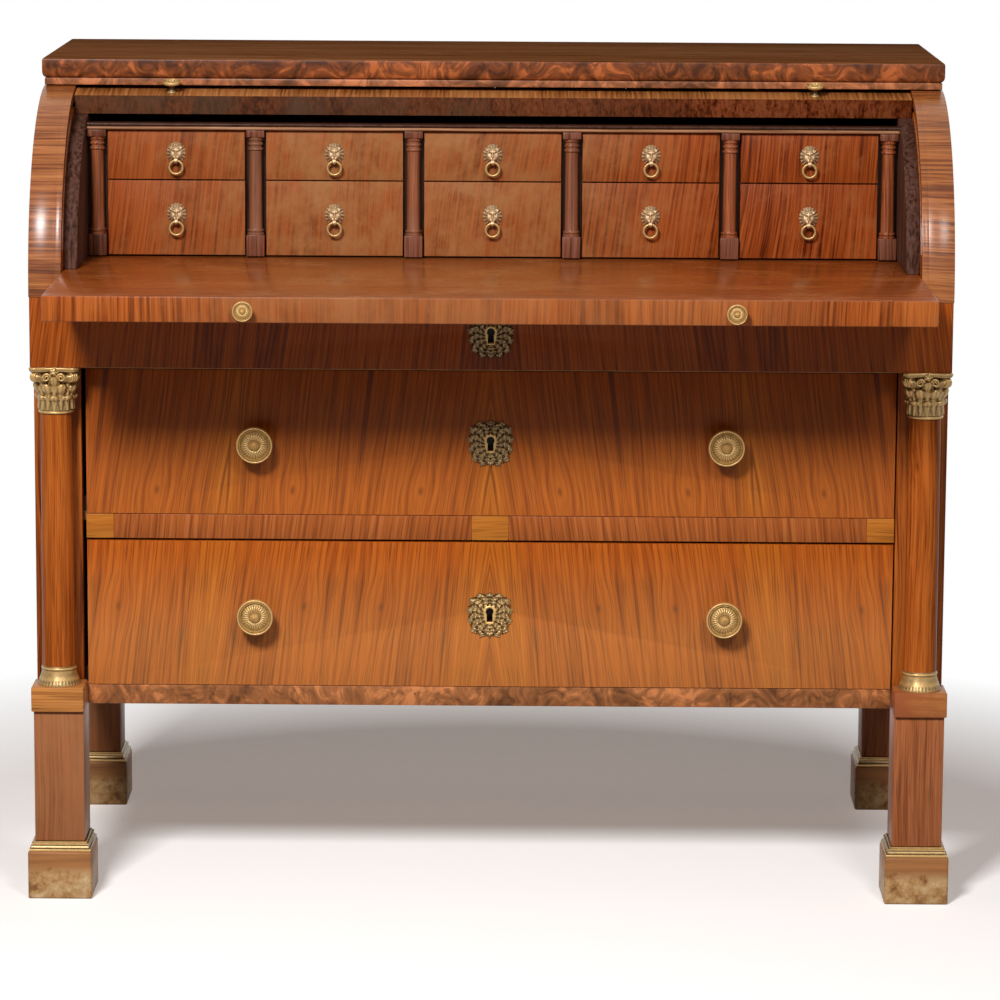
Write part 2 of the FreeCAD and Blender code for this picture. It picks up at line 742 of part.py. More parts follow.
def lion_mask(middle, pivot_z):
    """Lion mask: lobed mane, ears, domed face, muzzle, and the jaw bored for the ring."""
    ear_share = 0.30
    forward = vec(0, -1, 0)
    back = vec(middle, nest_face, pivot_z + mouth_drop)
    solid = Part.makeCylinder((mask_width - mane_lobe_diameter) / 2, mask_plate, back, forward)
    for lobe in range(mane_lobes):
        angle = 2 * math.pi * lobe / mane_lobes
        across = math.cos(angle) * (mask_width - mane_lobe_diameter) / 2
        up = math.sin(angle) * (mask_height - mane_lobe_diameter) / 2
        solid = solid.fuse(Part.makeCylinder(mane_lobe_diameter / 2, mask_plate, back + vec(across, 0, up), forward))
    for side in (-1, 1):
        ear = back + vec(side * ear_share * mask_width, -mask_plate, ear_share * mask_height)
        solid = solid.fuse(Part.makeSphere(ear_diameter / 2, ear))
    rim = math.sqrt(1 / 2)
    dome = outline(vec(0, 0, 0), vec(face_diameter / 2, 0, 0),
                   (vec(rim * face_diameter / 2, 0, rim * face_depth), vec(0, 0, face_depth)))
    solid = solid.fuse(turned(dome, back, forward))
    nose = muzzle_diameter / 2
    snout = outline(vec(0, 0, 0), vec(nose, 0, 0), vec(nose, 0, muzzle_depth - nose / 2),
                    vec(nose / 2, 0, muzzle_depth), vec(0, 0, muzzle_depth))
    solid = solid.fuse(turned(snout, vec(middle, nest_face, pivot_z + muzzle_rise), forward))
    mouth = box(middle - muzzle_diameter, middle + muzzle_diameter, nest_face - face_depth, nest_face - mask_plate,
                pivot_z - mask_height, pivot_z + muzzle_rise - nose)
    jaw = box(middle - jaw_width / 2, middle + jaw_width / 2, nest_face - jaw_depth, nest_face,
              pivot_z - jaw_height / 2, pivot_z + jaw_height / 2)
    bore = Part.makeCylinder(ring_bore / 2, mask_width,
                             vec(middle - mask_width / 2, nest_face - ring_reach, pivot_z), vec(1, 0, 0))
    return solid.cut(mouth).fuse(jaw).cut(bore).removeSplitter()


def pull_ring(middle, pivot_z):
    """Ring that hangs in the jaw."""
    centre = vec(middle, nest_face - ring_reach, pivot_z - ring_diameter / 2)
    return Part.makeTorus(ring_diameter / 2, ring_wire / 2, centre, vec(0, 1, 0))


def small_rows():
    """Name, front's lower and upper edge, box floor and ring pivot of the two rows of small drawers."""
    lower_high = row_line - row_gap / 2
    upper_low = row_line + row_gap / 2
    upper_high = nest_top - row_gap / 2
    lower_pivot = row_low + (lower_high - row_low) * lower_pull_share
    upper_pivot = upper_low + (upper_high - upper_low) * upper_pull_share
    return [("lower", row_low, lower_high, nest_floor, lower_pivot),
            ("upper", upper_low, upper_high, shelf_top, upper_pivot)]


def build_case():
    """Everything that stays still."""
    side = side_board()
    save("side_right", [side])
    save("side_left", [mirrored(side)])
    save("back_panel", [box(-inner_half, inner_half, back_front, case_depth, case_bottom, case_top)])
    save("top_board", top_boards())
    save("case_boards", case_boards())
    save("front_frame", front_frame())
    save("drawer_guides", drawer_guides())
    save("legs", leg_blocks())
    save("foot_blocks", foot_blocks())
    save("foot_mouldings", foot_mouldings())
    save("column_shafts", column_shafts())
    save("column_bases", column_bases())
    save("column_capitals", column_capitals())
    save("cylinder_cheeks", fall_cheeks())
    save("nest_case", nest_case())
    save("nest_cornice", nest_cornice())
    save("nest_colonnettes", [colonnette(place) for place in colonnette_places()])


def build_slide_and_fall():
    """The writing slide and the cylinder fall, with their knobs."""
    save("writing_slide", writing_slide())
    save("slide_knobs", front_knobs(slide_knob_spread, -slide_out, slide_bottom + slide_thickness / 2,
                                    slide_knob_diameter, slide_knob_projection))
    save("cylinder_staves", fall_staves())
    save("cylinder_rail", fall_rail())
    save("cylinder_knobs", fall_knobs())


def build_long_drawers():
    """The frieze drawer and the two long drawers under it."""
    frieze_z = (frieze_bottom + bed_top) / 2
    save("frieze_drawer", long_drawer(half_width - front_gap, 0, frieze_thickness, frieze_bottom + running_gap,
                                      bed_top - running_gap, frieze_bottom, bed_top, frieze_z))
    save("frieze_lock", drawer_lock(frieze_z, 0, frieze_thickness))
    for name, low, high in (("lower", lower_bottom, rail_bottom), ("upper", upper_bottom, stile_top)):
        centre_z = (low + high) / 2
        save(name + "_drawer", long_drawer(opening_half - front_gap, column_recess, front_thickness,
                                           low + front_gap, high - front_gap, low, high, centre_z))
        save(name + "_knobs", front_knobs(knob_spread, column_recess, centre_z, knob_diameter, knob_projection))
        save(name + "_lock", drawer_lock(centre_z, column_recess, front_thickness))


def build_small_drawers():
    """The nest's drawers, their lion masks and rings, numbered from the left."""
    for row, low, high, floor, pivot_z in small_rows():
        for index, middle in enumerate(small_places(), start=1):
            tail = "_" + row + "_" + str(index)
            save("small_drawer" + tail, small_drawer(middle, low, high, floor))
            save("lion_mask" + tail, [lion_mask(middle, pivot_z)])
            save("ring" + tail, [pull_ring(middle, pivot_z)])


def main():
    """Build and write every node."""
    os.makedirs("parts", exist_ok=True)
    build_case()
    build_slide_and_fall()
    build_long_drawers()
    build_small_drawers()


if __name__ == "__main__":
    main()
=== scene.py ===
import json
import math

import bmesh
import bpy
from bpy.props import FloatProperty, FloatVectorProperty, IntProperty, PointerProperty
from mathutils import Matrix, Vector


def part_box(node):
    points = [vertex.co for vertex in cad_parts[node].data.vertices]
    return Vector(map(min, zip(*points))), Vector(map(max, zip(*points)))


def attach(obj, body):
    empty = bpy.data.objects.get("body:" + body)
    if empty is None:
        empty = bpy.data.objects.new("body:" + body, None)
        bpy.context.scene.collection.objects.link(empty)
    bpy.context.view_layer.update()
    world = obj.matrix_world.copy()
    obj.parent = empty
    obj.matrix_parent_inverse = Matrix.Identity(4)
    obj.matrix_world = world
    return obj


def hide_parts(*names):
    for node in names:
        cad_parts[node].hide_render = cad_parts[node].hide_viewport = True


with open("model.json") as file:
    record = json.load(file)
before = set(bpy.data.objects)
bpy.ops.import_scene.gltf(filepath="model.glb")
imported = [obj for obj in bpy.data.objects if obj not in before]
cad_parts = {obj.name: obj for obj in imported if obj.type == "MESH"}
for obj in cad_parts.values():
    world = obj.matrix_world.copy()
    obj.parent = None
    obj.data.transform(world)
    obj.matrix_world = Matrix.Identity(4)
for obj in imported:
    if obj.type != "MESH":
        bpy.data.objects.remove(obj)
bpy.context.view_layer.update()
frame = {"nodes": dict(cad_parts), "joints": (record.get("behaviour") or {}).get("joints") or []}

bl_info = {
    "name": "Cylinder desk",
    "version": (1, 0, 0),
    "blender": (4, 5, 0),
    "location": "3D View > Sidebar > Desk",
    "description": "Builds the veneers, brass mounts and stage of a cylinder desk round its packed solids",
    "category": "Object",
}

MM = 0.001
FULL = 2 * math.pi
QUARTER = math.pi / 2
SIDES = (-1, 1)
JOINTS = {joint["name"]: joint for joint in frame["joints"]}
AXIS = Vector(JOINTS["cylinder_swing"]["pos_m"])
SWING = math.radians(max(abs(limit) for limit in JOINTS["cylinder_swing"]["range_deg"]))
NEST_COLUMNS = 5
NEST_PLACES = ["_%s_%d" % (row, column + 1) for row in ("lower", "upper") for column in range(NEST_COLUMNS)]
LONG_DRAWERS = ("frieze", "upper", "lower")


def low(node):
    """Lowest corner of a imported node."""
    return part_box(node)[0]


def high(node):
    """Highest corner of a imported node."""
    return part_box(node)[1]


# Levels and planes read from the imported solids
FRONT = low("frieze_drawer").y
CASE_HALF, CASE_BACK, CASE_TOP = high("side_right")
INNER_HALF, CASE_LOW = low("side_right").x, low("side_right").z
RECESS = low("front_frame").y
STILE_BACK, STILE_TOP = high("front_frame").y, high("front_frame").z
FRIEZE_LOW = high("column_capitals").z
BED_TOP = high("case_boards").z
PLINTH_TOP = high("legs").z
SHAFT = (high("column_shafts").y - low("column_shafts").y) / 2
COLUMN_X = high("column_shafts").x - SHAFT
COLUMN_Y = (low("column_shafts").y + high("column_shafts").y) / 2
COLUMN_REAR = (RECESS - COLUMN_Y) / MM
NEST_HALF = high("nest_case").x

# The cylinder's drum, its leading edge over the writing slide and its rear edge
FALL_GAP, FALL_THICK, FALL_REST = 4 * MM, 26 * MM, 0.8 * MM
FALL_RADIUS = CASE_TOP - AXIS.z - FALL_GAP
FALL_INNER = FALL_RADIUS - FALL_THICK
FALL_HALF = high("cylinder_rail").x
FALL_LEVEL = high("writing_slide").z + FALL_REST - AXIS.z
FALL_EDGE = SWING + math.asin(FALL_LEVEL / FALL_RADIUS)
FALL_REAR = SWING + math.radians(94)
FALL_SPLIT = SWING + math.radians(13)


def length(name, description, default, least, most):
    """A length that a maker would change."""
    return FloatProperty(name=name, description=description, default=default, min=least, max=most,
                         unit="LENGTH")


def count(name, description, default, least, most):
    """A number of like pieces."""
    return IntProperty(name=name, description=description, default=default, min=least, max=most)


def colour_of(name, description, default):
    """A colour that a maker would change."""
    return FloatVectorProperty(name=name, description=description, default=default, subtype="COLOR", size=3,
                               min=0, max=1)


class DeskSizes(bpy.types.PropertyGroup):
    """Sizes of the desk's dressing that a maker would change."""
    edge: length("Eased edge", "Radius of the eased edges of boards", 0.0012, 0.0002, 0.004)
    veneer_leaf: length("Veneer leaf", "Width of one leaf of book-matched veneer", 0.171, 0.05, 0.6)
    front_board: length("Drawer front", "Thickness of the long drawers' fronts", 0.022, 0.012, 0.04)
    box_board: length("Drawer side", "Thickness of the long drawers' sides", 0.012, 0.006, 0.02)
    petals: count("Rosette petals", "Petals on each rosette knob", 28, 6, 32)
    mane_tufts: count("Mane tufts", "Tufts round each lion mask", 17, 7, 24)
    planks: count("Back planks", "Planks in the back panel", 6, 2, 12)
    turned_steps: count("Turned steps", "Steps round the neck of each capital", 64, 16, 160)


class DeskTones(bpy.types.PropertyGroup):
    """Colours of the desk's woods and brass."""
    walnut: colour_of("Walnut", "Middle tone of the walnut veneer", (0.365, 0.080, 0.008))
    pine: colour_of("Softwood", "Middle tone of the unpolished inner boards", (0.52, 0.30, 0.135))
    brass: colour_of("Brass", "Rubbed tone of the antique brass", (0.42, 0.256, 0.090))
    patina: colour_of("Patina", "Dark tone in the hollows of the brass", (0.050, 0.028, 0.009))
    floor: colour_of("Floor", "Tone of the studio floor", (0.97, 0.97, 0.97))


def sizes():
    return bpy.context.scene.desk_sizes


def tones():
    return bpy.context.scene.desk_tones


class Nodes:
    """Shader nodes of one finish, with their arithmetic."""

    def __init__(self, tree):
        self.tree = tree
        tree.nodes.clear()

    def add(self, kind, inputs=None, **settings):
        """Outputs of a new node with its settings, values and links."""
        node = self.tree.nodes.new("ShaderNode" + kind)
        for key, value in settings.items():
            setattr(node, key, value)
        for key, value in (inputs or {}).items():
            if isinstance(value, bpy.types.NodeSocket):
                self.tree.links.new(value, node.inputs[key])
            else:
                node.inputs[key].default_value = value
        return node.outputs

    def calc(self, operation, *values, clamp=False):
        """One step of arithmetic."""
        return self.add("Math", dict(enumerate(values)), operation=operation, use_clamp=clamp)[0]

    def blend(self, share, first, second, kind="MIX"):
        """Two colours mixed."""
        first, second = ((*tone, 1) if isinstance(tone, tuple) else tone for tone in (first, second))
        return self.add("Mix", {0: share, 6: first, 7: second}, data_type="RGBA", blend_type=kind)[2]

    def ramp(self, share, *stops):
        """Colours along a scale from 0 to 1."""
        colour = self.add("ValToRGB", {0: share})[0]
        band = colour.node.color_ramp
        while len(band.elements) < len(stops):
            band.elements.new(0.5)
        for element, (place, tone) in zip(band.elements, stops):
            element.position = place
            element.color = (*tone, 1)
        return colour

    def fade(self, value, start, stop, first, last):
        """A value carried from one range into another."""
        return self.add("MapRange", {0: value, 1: start, 2: stop, 3: first, 4: last})[0]

    def noise(self, space, scale, **values):
        """Noise over a space, with its detail, roughness and distortion."""
        return self.add("TexNoise", {"Vector": space, "Scale": scale, **values})[0]

    def place(self):
        """Where a point lies on the desk."""
        return self.add("TexCoord")["Object"]

    def axes(self):
        """Where a point lies on the desk, axis by axis."""
        return self.add("SeparateXYZ", {0: self.place()})

    def grain(self, way, leaf=0.0, lean=0.0):
        """Coordinates across, through and along the grain, folded where leaves of veneer are book-matched."""
        x, y, z = self.axes()
        if way == "DRUM":
            turn = self.calc("ARCTAN2", self.calc("SUBTRACT", z, AXIS.z), self.calc("SUBTRACT", y, AXIS.y))
            across, through, along = x, 0.0, self.calc("MULTIPLY", turn, FALL_RADIUS)
        else:
            across, through, along = {"X": (z, y, x), "Y": (x, z, y), "Z": (x, y, z)}[way]
        if leaf:
            across = self.calc("ABSOLUTE", across)
        if lean:
            across = self.calc("MULTIPLY_ADD", self.calc("SUBTRACT", along, LEAN_LEVEL), lean, across)
        if leaf:
            across = self.calc("PINGPONG", across, leaf)
        return across, through, along

    def drawn(self, across, through, along, squeeze, shift=0.0):
        """Space for a texture drawn out along the grain."""
        across, along = self.calc("ADD", across, shift), self.calc("MULTIPLY", along, squeeze)
        return self.add("CombineXYZ", {0: across, 1: through, 2: along})[0]

    def coat(self, colour, rough, bump=None, gloss=0.5, metal=0.0):
        """Surface from its colour and roughness; bump holds a height, its strength and its depth."""
        inputs = {"Base Color": colour, "Roughness": rough, "Specular IOR Level": gloss, "Metallic": metal}
        if bump:
            inputs["Normal"] = self.add("Bump", dict(zip(("Height", "Strength", "Distance"), bump)))[0]
        self.add("OutputMaterial", {0: self.add("BsdfPrincipled", inputs)[0]})


def shade(tone, amount):
    """A colour made lighter or darker."""
    return tuple(min(1.0, channel * amount) for channel in tone)


def toned(tone, amounts, contrast=1.0):
    """A colour moved from its middle tone, channel by channel."""
    return tuple(min(1.0, channel * (1 + (amount - 1) * contrast)) for channel, amount in zip(tone, amounts))


# Walnut: shares of its middle tone, and the figure's sizes in metres
DARK, DEEP, PALE = (0.40, 0.32, 0.26), (0.76, 0.70, 0.62), (1.26, 1.45, 1.75)
SAPWOOD, RUBBED = (1.16, 1.42, 1.2), (1.15, 1.75, 2.9)
# Painted reflection of the pale floor, added towards the bottom of each drawer
PAINTED_FLOOR_REFLECTION = (0.108, 0.070, 0.028)
PIECE_TONES = ((0.0, (0.80, 0.77, 0.75)), (0.5, (0.99, 0.98, 0.97)), (1.0, (1.14, 1.22, 1.32)))
LEAN_LEVEL = 0.55
SWAY = 0.034
KNOT_REACH, KNOT_PULL, KNOT_SQUEEZE = 0.026, 0.80, 0.5
KNOT_CORE, KNOT_EDGE, KNOT_SHARE = 0.0006, 0.0042, 0.7
STREAK_SCALE, PORE_SCALE, FIBRE_SQUEEZE = 250.0, 900.0, 0.018


def veneer(nodes, tone, grain="Z", leaf=0.0, lean=0.0, shift=0.0, contrast=1.0, figure=14.0, eyes=(),
           sap=0.0, polish=0.32, gloss=0.12, worn=0.0, cloud=11.0, painted_reflection_rows=None, pieced=0.0, painted_sheen_and_dust=None):
    """Polished walnut: swaying figure, dark streaks, fine pores, small knots and a hand-rubbed gloss."""
    calc, fade, blend = nodes.calc, nodes.fade, nodes.blend
    across, through, along = nodes.grain(grain, leaf, lean)

    def drawn(squeeze):
        return nodes.drawn(across, through, along, squeeze, shift)

    heart, knots = across, []
    for side, up in eyes:
        aside = calc("SUBTRACT", heart, side)
        above = calc("MULTIPLY", calc("SUBTRACT", along, up), KNOT_SQUEEZE)
        reach = calc("SQRT", calc("MULTIPLY_ADD", aside, aside, calc("MULTIPLY", above, above)))
        pull = fade(reach, 0.0, KNOT_REACH, KNOT_PULL, 0.0)
        across = calc("SUBTRACT", across, calc("MULTIPLY", aside, pull))
        knots.append(reach)
    sway = nodes.noise(drawn(0.8), 3.4, Detail=1.0)
    across = calc("MULTIPLY_ADD", calc("SUBTRACT", sway, 0.5), SWAY, across)
    broad = nodes.noise(drawn(0.09), figure, Detail=4.0, Roughness=0.55, Distortion=0.6)
    streaks = nodes.noise(drawn(FIBRE_SQUEEZE), STREAK_SCALE, Detail=3.0, Roughness=0.62)
    pores = nodes.noise(drawn(FIBRE_SQUEEZE), PORE_SCALE, Detail=1.0)
    scale = calc("ADD", streaks, calc("MULTIPLY_ADD", broad, 0.45, -0.225))
    colour = nodes.ramp(scale, (0.34, toned(tone, DARK, contrast)), (0.43, toned(tone, DEEP, contrast)),
                        (0.51, tone), (0.64, toned(tone, PALE, contrast)))
    line = fade(pores, 0.34, 0.46, 0.60, 1.0)
    colour = blend(1.0, colour, nodes.add("CombineColor", {0: line, 1: line, 2: line})[0], "MULTIPLY")
    if pieced:
        step = calc("FLOOR", calc("DIVIDE", nodes.axes()[0], pieced))
        pick = nodes.add("TexWhiteNoise", {"W": step}, noise_dimensions="1D")[0]
        colour = blend(1.0, colour, nodes.ramp(pick, *PIECE_TONES), "MULTIPLY")
    if sap:
        edge = fade(calc("MULTIPLY_ADD", sway, 0.03, heart), 0.015, 0.05, sap, 0.0)
        colour = blend(edge, colour, SAPWOOD, "MULTIPLY")
    for reach in knots:
        colour = blend(fade(reach, KNOT_CORE, KNOT_EDGE, KNOT_SHARE, 0.0), colour, shade(tone, 0.25))
    rough = calc("MULTIPLY_ADD", pores, 0.16, polish - 0.08)
    if worn or painted_sheen_and_dust:
        patch = nodes.noise(drawn(0.8), cloud, Detail=6.0, Roughness=0.65)
    if worn:
        rub = fade(patch, 0.50, 0.68, 0.0, worn)
        colour = blend(rub, colour, toned(tone, RUBBED))
        rough = calc("MULTIPLY_ADD", rub, 0.25, rough)
    # Painted sheen and dust: a veil of another tone, strongest about a middle across the desk and broken into
    # patches
    if painted_sheen_and_dust:
        middle, near, far, share, tint = painted_sheen_and_dust
        sheen_and_dust_share = fade(calc("ABSOLUTE", calc("SUBTRACT", nodes.axes()[0], middle)), near, far, share, 0.0)
        sheen_and_dust_share = calc("MULTIPLY", sheen_and_dust_share, calc("MULTIPLY_ADD", patch, 3.6, -0.80), clamp=True)
        colour = blend(sheen_and_dust_share, colour, tint)
    # Painted reflection of the floor: a paler tone added towards the bottom of each drawer, weaker on the
    # upper drawer as painted shade of the writing slide
    if painted_reflection_rows:
        base, pitch = painted_reflection_rows
        height = calc("FRACT", calc("DIVIDE", calc("SUBTRACT", along, base), pitch))
        row = calc("MULTIPLY_ADD", calc("LESS_THAN", along, base + pitch), 0.65, 0.35)
        colour = blend(calc("MULTIPLY", fade(height, 0.30, 0.80, 1.0, 0.0), row), colour, PAINTED_FLOOR_REFLECTION, "ADD")
    nodes.coat(colour, rough, (pores, 0.10, 0.0004), gloss)


def burr(nodes, tone, contrast=1.0, gain=1.0):
    """Burr walnut: swirled figure with clusters of dark eyes under polish."""
    calc, place = nodes.calc, nodes.place()
    swirl = nodes.noise(place, 26.0, Detail=7.0, Roughness=0.62, Distortion=2.6)
    broad = nodes.noise(place, 7.0, Detail=3.0)
    eyes = nodes.add("TexVoronoi", {"Vector": place, "Scale": 75.0})["Distance"]
    scale = calc("MULTIPLY_ADD", broad, 0.35, calc("MULTIPLY", swirl, 0.65))
    scale = calc("MULTIPLY_ADD", calc("SUBTRACT", scale, 0.5), gain, 0.5)
    colour = nodes.ramp(scale, (0.30, shade(tone, 0.32)), (0.43, shade(tone, 0.70)), (0.53, tone),
                        (0.66, shade(tone, 1 + 0.75 * contrast)))
    spots = calc("MULTIPLY", nodes.fade(eyes, 0.03, 0.16, 0.75, 0.0), nodes.fade(broad, 0.46, 0.58, 0.0, 1.0))
    colour = nodes.blend(spots, colour, shade(tone, 0.25))
    nodes.coat(colour, calc("MULTIPLY_ADD", swirl, 0.14, 0.28), (swirl, 0.08, 0.0005), 0.15)


def softwood(nodes, tone, grain="Y"):
    """Unpolished softwood: pale earlywood, darker latewood lines and dust-dark pores."""
    calc, space = nodes.calc, nodes.grain(grain)
    wide = nodes.drawn(*space, 0.06)
    rings = nodes.add("TexWave", {"Vector": wide, "Scale": 7.0, "Distortion": 9.0, "Detail": 3.0})["Fac"]
    age = nodes.noise(wide, 6.0, Detail=4.0)
    fibre = nodes.noise(nodes.drawn(*space, 0.02), 800.0)
    colour = nodes.ramp(calc("MULTIPLY_ADD", rings, 0.5, calc("MULTIPLY", age, 0.5)),
                        (0.2, shade(tone, 0.72)), (0.5, tone), (0.8, shade(tone, 1.14)))
    nodes.coat(colour, calc("MULTIPLY_ADD", fibre, 0.2, 0.55), (fibre, 0.25, 0.0005))


def cast_brass(nodes, tone, patina, rough=0.36):
    """Cast brass: rubbed bright on the high relief and dark with age in the hollows."""
    calc, place = nodes.calc, nodes.place()
    relief = nodes.add("Attribute", attribute_name="relief")["Fac"]
    stain = nodes.noise(place, 160.0, Detail=5.0, Roughness=0.65)
    speck = nodes.noise(place, 900.0, Detail=3.0)
    scale = calc("ADD", relief, calc("MULTIPLY", calc("SUBTRACT", stain, 0.5), 0.55), clamp=True)
    colour = nodes.ramp(scale, (0.05, patina), (0.36, shade(tone, 0.45)), (0.66, shade(tone, 0.92)),
                        (0.96, shade(tone, 1.35)))
    nodes.coat(colour, calc("MULTIPLY_ADD", stain, 0.30, rough - 0.13), (speck, 0.18, 0.0004), metal=0.45)


GILDING = ((0.36, (0.23, 0.10, 0.035)), (0.46, (0.44, 0.23, 0.085)), (0.56, (0.56, 0.345, 0.16)),
           (0.70, (0.70, 0.50, 0.29)))
GILDING_TOP = (0.032, 0.046)


def worn_gilding(nodes, tone):
    """Foot block: walnut above, worn gilding with its ground showing through below."""
    calc, space = nodes.calc, nodes.grain("X")
    figure = nodes.noise(nodes.drawn(*space, 0.08), 60.0, Detail=5.0, Distortion=0.4)
    wood = nodes.ramp(figure, (0.3, shade(tone, 0.55)), (0.5, tone), (0.7, shade(tone, 1.45)))
    flake = nodes.noise(nodes.place(), 55.0, Detail=7.0, Roughness=0.7)
    height = calc("MULTIPLY_ADD", calc("SUBTRACT", flake, 0.5), 0.02, space[0])
    colour = nodes.blend(nodes.fade(height, *GILDING_TOP, 1.0, 0.0), wood, nodes.ramp(flake, *GILDING))
    nodes.coat(colour, calc("MULTIPLY_ADD", flake, 0.25, 0.28), (flake, 0.2, 0.0006), 0.2)


def dark_iron(nodes, tone):
    """Blackened iron of the lock cases, with a little rust."""
    rust = nodes.noise(nodes.place(), 120.0, Detail=6.0)
    colour = nodes.ramp(rust, (0.35, (0.035, 0.032, 0.03)), (0.6, tone), (0.75, (0.16, 0.08, 0.04)))
    nodes.coat(colour, nodes.calc("MULTIPLY_ADD", rust, 0.3, 0.4), metal=0.8)


def finish_table():
    """How each finish of the desk is made: its maker, its tone and its settings."""
    names = ("walnut", "pine", "brass", "patina")
    walnut, pine, brass, patina = (tuple(getattr(tones(), name)) for name in names)
    leaf = sizes().veneer_leaf
    lower, upper = low("lower_drawer").z, low("upper_drawer").z
    return {
        # Drawer fronts carry a painted reflection of the floor towards the bottom of each drawer
        "drawer_veneer": (veneer, toned(walnut, (1.03, 0.94, 0.70)), dict(
            leaf=leaf, figure=11, contrast=0.95, lean=0.12, sap=0.7, painted_reflection_rows=(lower, upper - lower),
            eyes=((leaf - 0.050, lower + 0.105), (leaf - 0.083, upper + 0.032)))),
        # Frieze a little darker than the drawers: painted shade under the writing slide
        "frieze_veneer": (veneer, toned(walnut, (0.95, 0.87, 0.75)), dict(
            leaf=leaf, figure=12, shift=0.7, lean=0.12)),
        "side_veneer": (veneer, walnut, dict(figure=6, shift=1.7)),
        "edge_veneer": (veneer, (0.335, 0.102, 0.024), dict(
            grain="X", figure=22, shift=0.3, worn=0.2, polish=0.26, gloss=0.36)),
        "frame_veneer": (veneer, shade(walnut, 0.9), dict(figure=16, contrast=1.2, shift=2.1)),
        "rail_veneer": (veneer, (0.375, 0.098, 0.020), dict(
            leaf=0.26, figure=9, contrast=0.7, shift=4.6, lean=0.12)),
        "rail_block": (veneer, (0.46, 0.148, 0.018), dict(grain="X", figure=30, contrast=0.35, shift=0.9)),
        # Left plinth keeps the pale tone and the right one is toned darker, and the left leg is paler:
        # painted sheen from the lamp on the left
        "plinth_veneer": (veneer, (0.55, 0.212, 0.054), dict(
            grain="X", figure=30, contrast=0.5, shift=0.9,
            painted_sheen_and_dust=(CASE_HALF, 0.3, 0.9, 0.85, (0.33, 0.092, 0.030)))),
        "leg_veneer": (veneer, (0.355, 0.108, 0.036), dict(
            figure=18, contrast=0.6, shift=5.2, painted_sheen_and_dust=(-CASE_HALF, 0.3, 0.6, 0.5, (0.36, 0.150, 0.060)))),
        "column_veneer": (veneer, (0.420, 0.098, 0.014), dict(
            figure=20, contrast=0.75, shift=3.3, polish=0.28, gloss=0.04)),
        # Slide top and front edge paler in the middle: painted sheen
        "slide_veneer": (veneer, (0.325, 0.070, 0.009), dict(
            grain="X", figure=10, contrast=0.85, shift=6.1, worn=0.4, polish=0.22, gloss=0.45,
            painted_sheen_and_dust=(-0.08, 0.1, 0.4, 0.4, (0.36, 0.135, 0.040)))),
        "slide_edge": (veneer, (0.340, 0.074, 0.011), dict(
            figure=30, contrast=0.9, shift=7.3, worn=0.35, pieced=0.083,
            painted_sheen_and_dust=(0.0, 0.2, 0.46, 0.5, (0.33, 0.125, 0.045)))),
        "nest_veneer": (veneer, (0.258, 0.050, 0.008), dict(
            figure=15, shift=8.0, contrast=1.15, worn=0.5, cloud=42.0, lean=-0.12, polish=0.42, gloss=0.08,
            painted_sheen_and_dust=(-0.12, 0.12, 0.40, 0.62, (0.31, 0.130, 0.045)))),
        # Near-black finish as painted shade: nest case, upper cornice and keyhole walls
        "nest_frame": (veneer, (0.05, 0.016, 0.007), dict(figure=24, shift=8.8)),
        "nest_bead": (veneer, (0.33, 0.150, 0.070), dict(grain="X", figure=20, shift=9.1)),
        "colonnette_wood": (veneer, (0.28, 0.072, 0.022), dict(
            figure=34, shift=9.4, gloss=0.25, polish=0.28,
            painted_sheen_and_dust=(-0.15, 0.2, 0.42, 0.5, (0.17, 0.085, 0.050)))),
        "colonnette_block": (veneer, (0.17, 0.055, 0.028), dict(figure=26, shift=9.8)),
        "cheek_veneer": (veneer, (0.080, 0.032, 0.020), dict(
            figure=16, contrast=1.2, shift=10.2, polish=0.5, gloss=0.05)),
        # Drum and rail in a paler tan than the walnut fronts: painted sheen
        "cylinder_veneer": (veneer, (0.43, 0.160, 0.042), dict(
            grain="DRUM", leaf=leaf, figure=12, shift=11.0, gloss=0.35)),
        # Leading edge of the fall greyer on the left: painted sheen from the lamp on the left
        "cylinder_edge": (veneer, (0.170, 0.038, 0.010), dict(
            figure=24, contrast=1.2, shift=12.0, pieced=0.13,
            painted_sheen_and_dust=(-0.3, 0.1, 0.6, 0.62, (0.09, 0.055, 0.032)))),
        "top_veneer": (veneer, (0.235, 0.086, 0.030), dict(
            grain="X", figure=7, contrast=0.85, shift=13.0, gloss=0.0)),
        "under_burr": (burr, (0.30, 0.106, 0.043), dict(gain=1.6)),
        "top_burr": (burr, (0.20, 0.053, 0.014), dict(contrast=1.4, gain=2.0)),
        "rail_burr": (burr, (0.35, 0.124, 0.041), dict(gain=1.5)),
        # Near-black guides: painted shade in the gaps beside the drawers
        "guide_wood": (softwood, (0.05, 0.026, 0.013), {}),
        "softwood": (softwood, pine, {}),
        "softwood_planks": (softwood, shade(pine, 0.72), dict(grain="Z")),
        "brass": (cast_brass, brass, dict(patina=patina)),
        "knob_brass": (cast_brass, shade(brass, 1.04), dict(patina=patina)),
        # Lighter brass for the lower escutcheon: painted light
        "rubbed_brass": (cast_brass, shade(brass, 1.5), dict(patina=shade(patina, 1.6))),
        "mask_brass": (cast_brass, (0.43, 0.285, 0.150), dict(patina=patina)),
        "gilt": (cast_brass, shade(brass, 1.02), dict(patina=shade(patina, 1.2), rough=0.33)),
        "foot": (worn_gilding, (0.33, 0.135, 0.045), {}),
        "iron": (dark_iron, (0.08, 0.07, 0.06), {}),
    }


FINISHES = {}


def finish(name):
    """A named finish of the desk, made when it is first asked for."""
    if name not in FINISHES:
        maker, tone, settings = finish_table()[name]
        material = bpy.data.materials.new(name)
        material.use_nodes = True
        maker(Nodes(material.node_tree), tone, **settings)
        FINISHES[name] = material
    return FINISHES[name]


# Mesh helpers

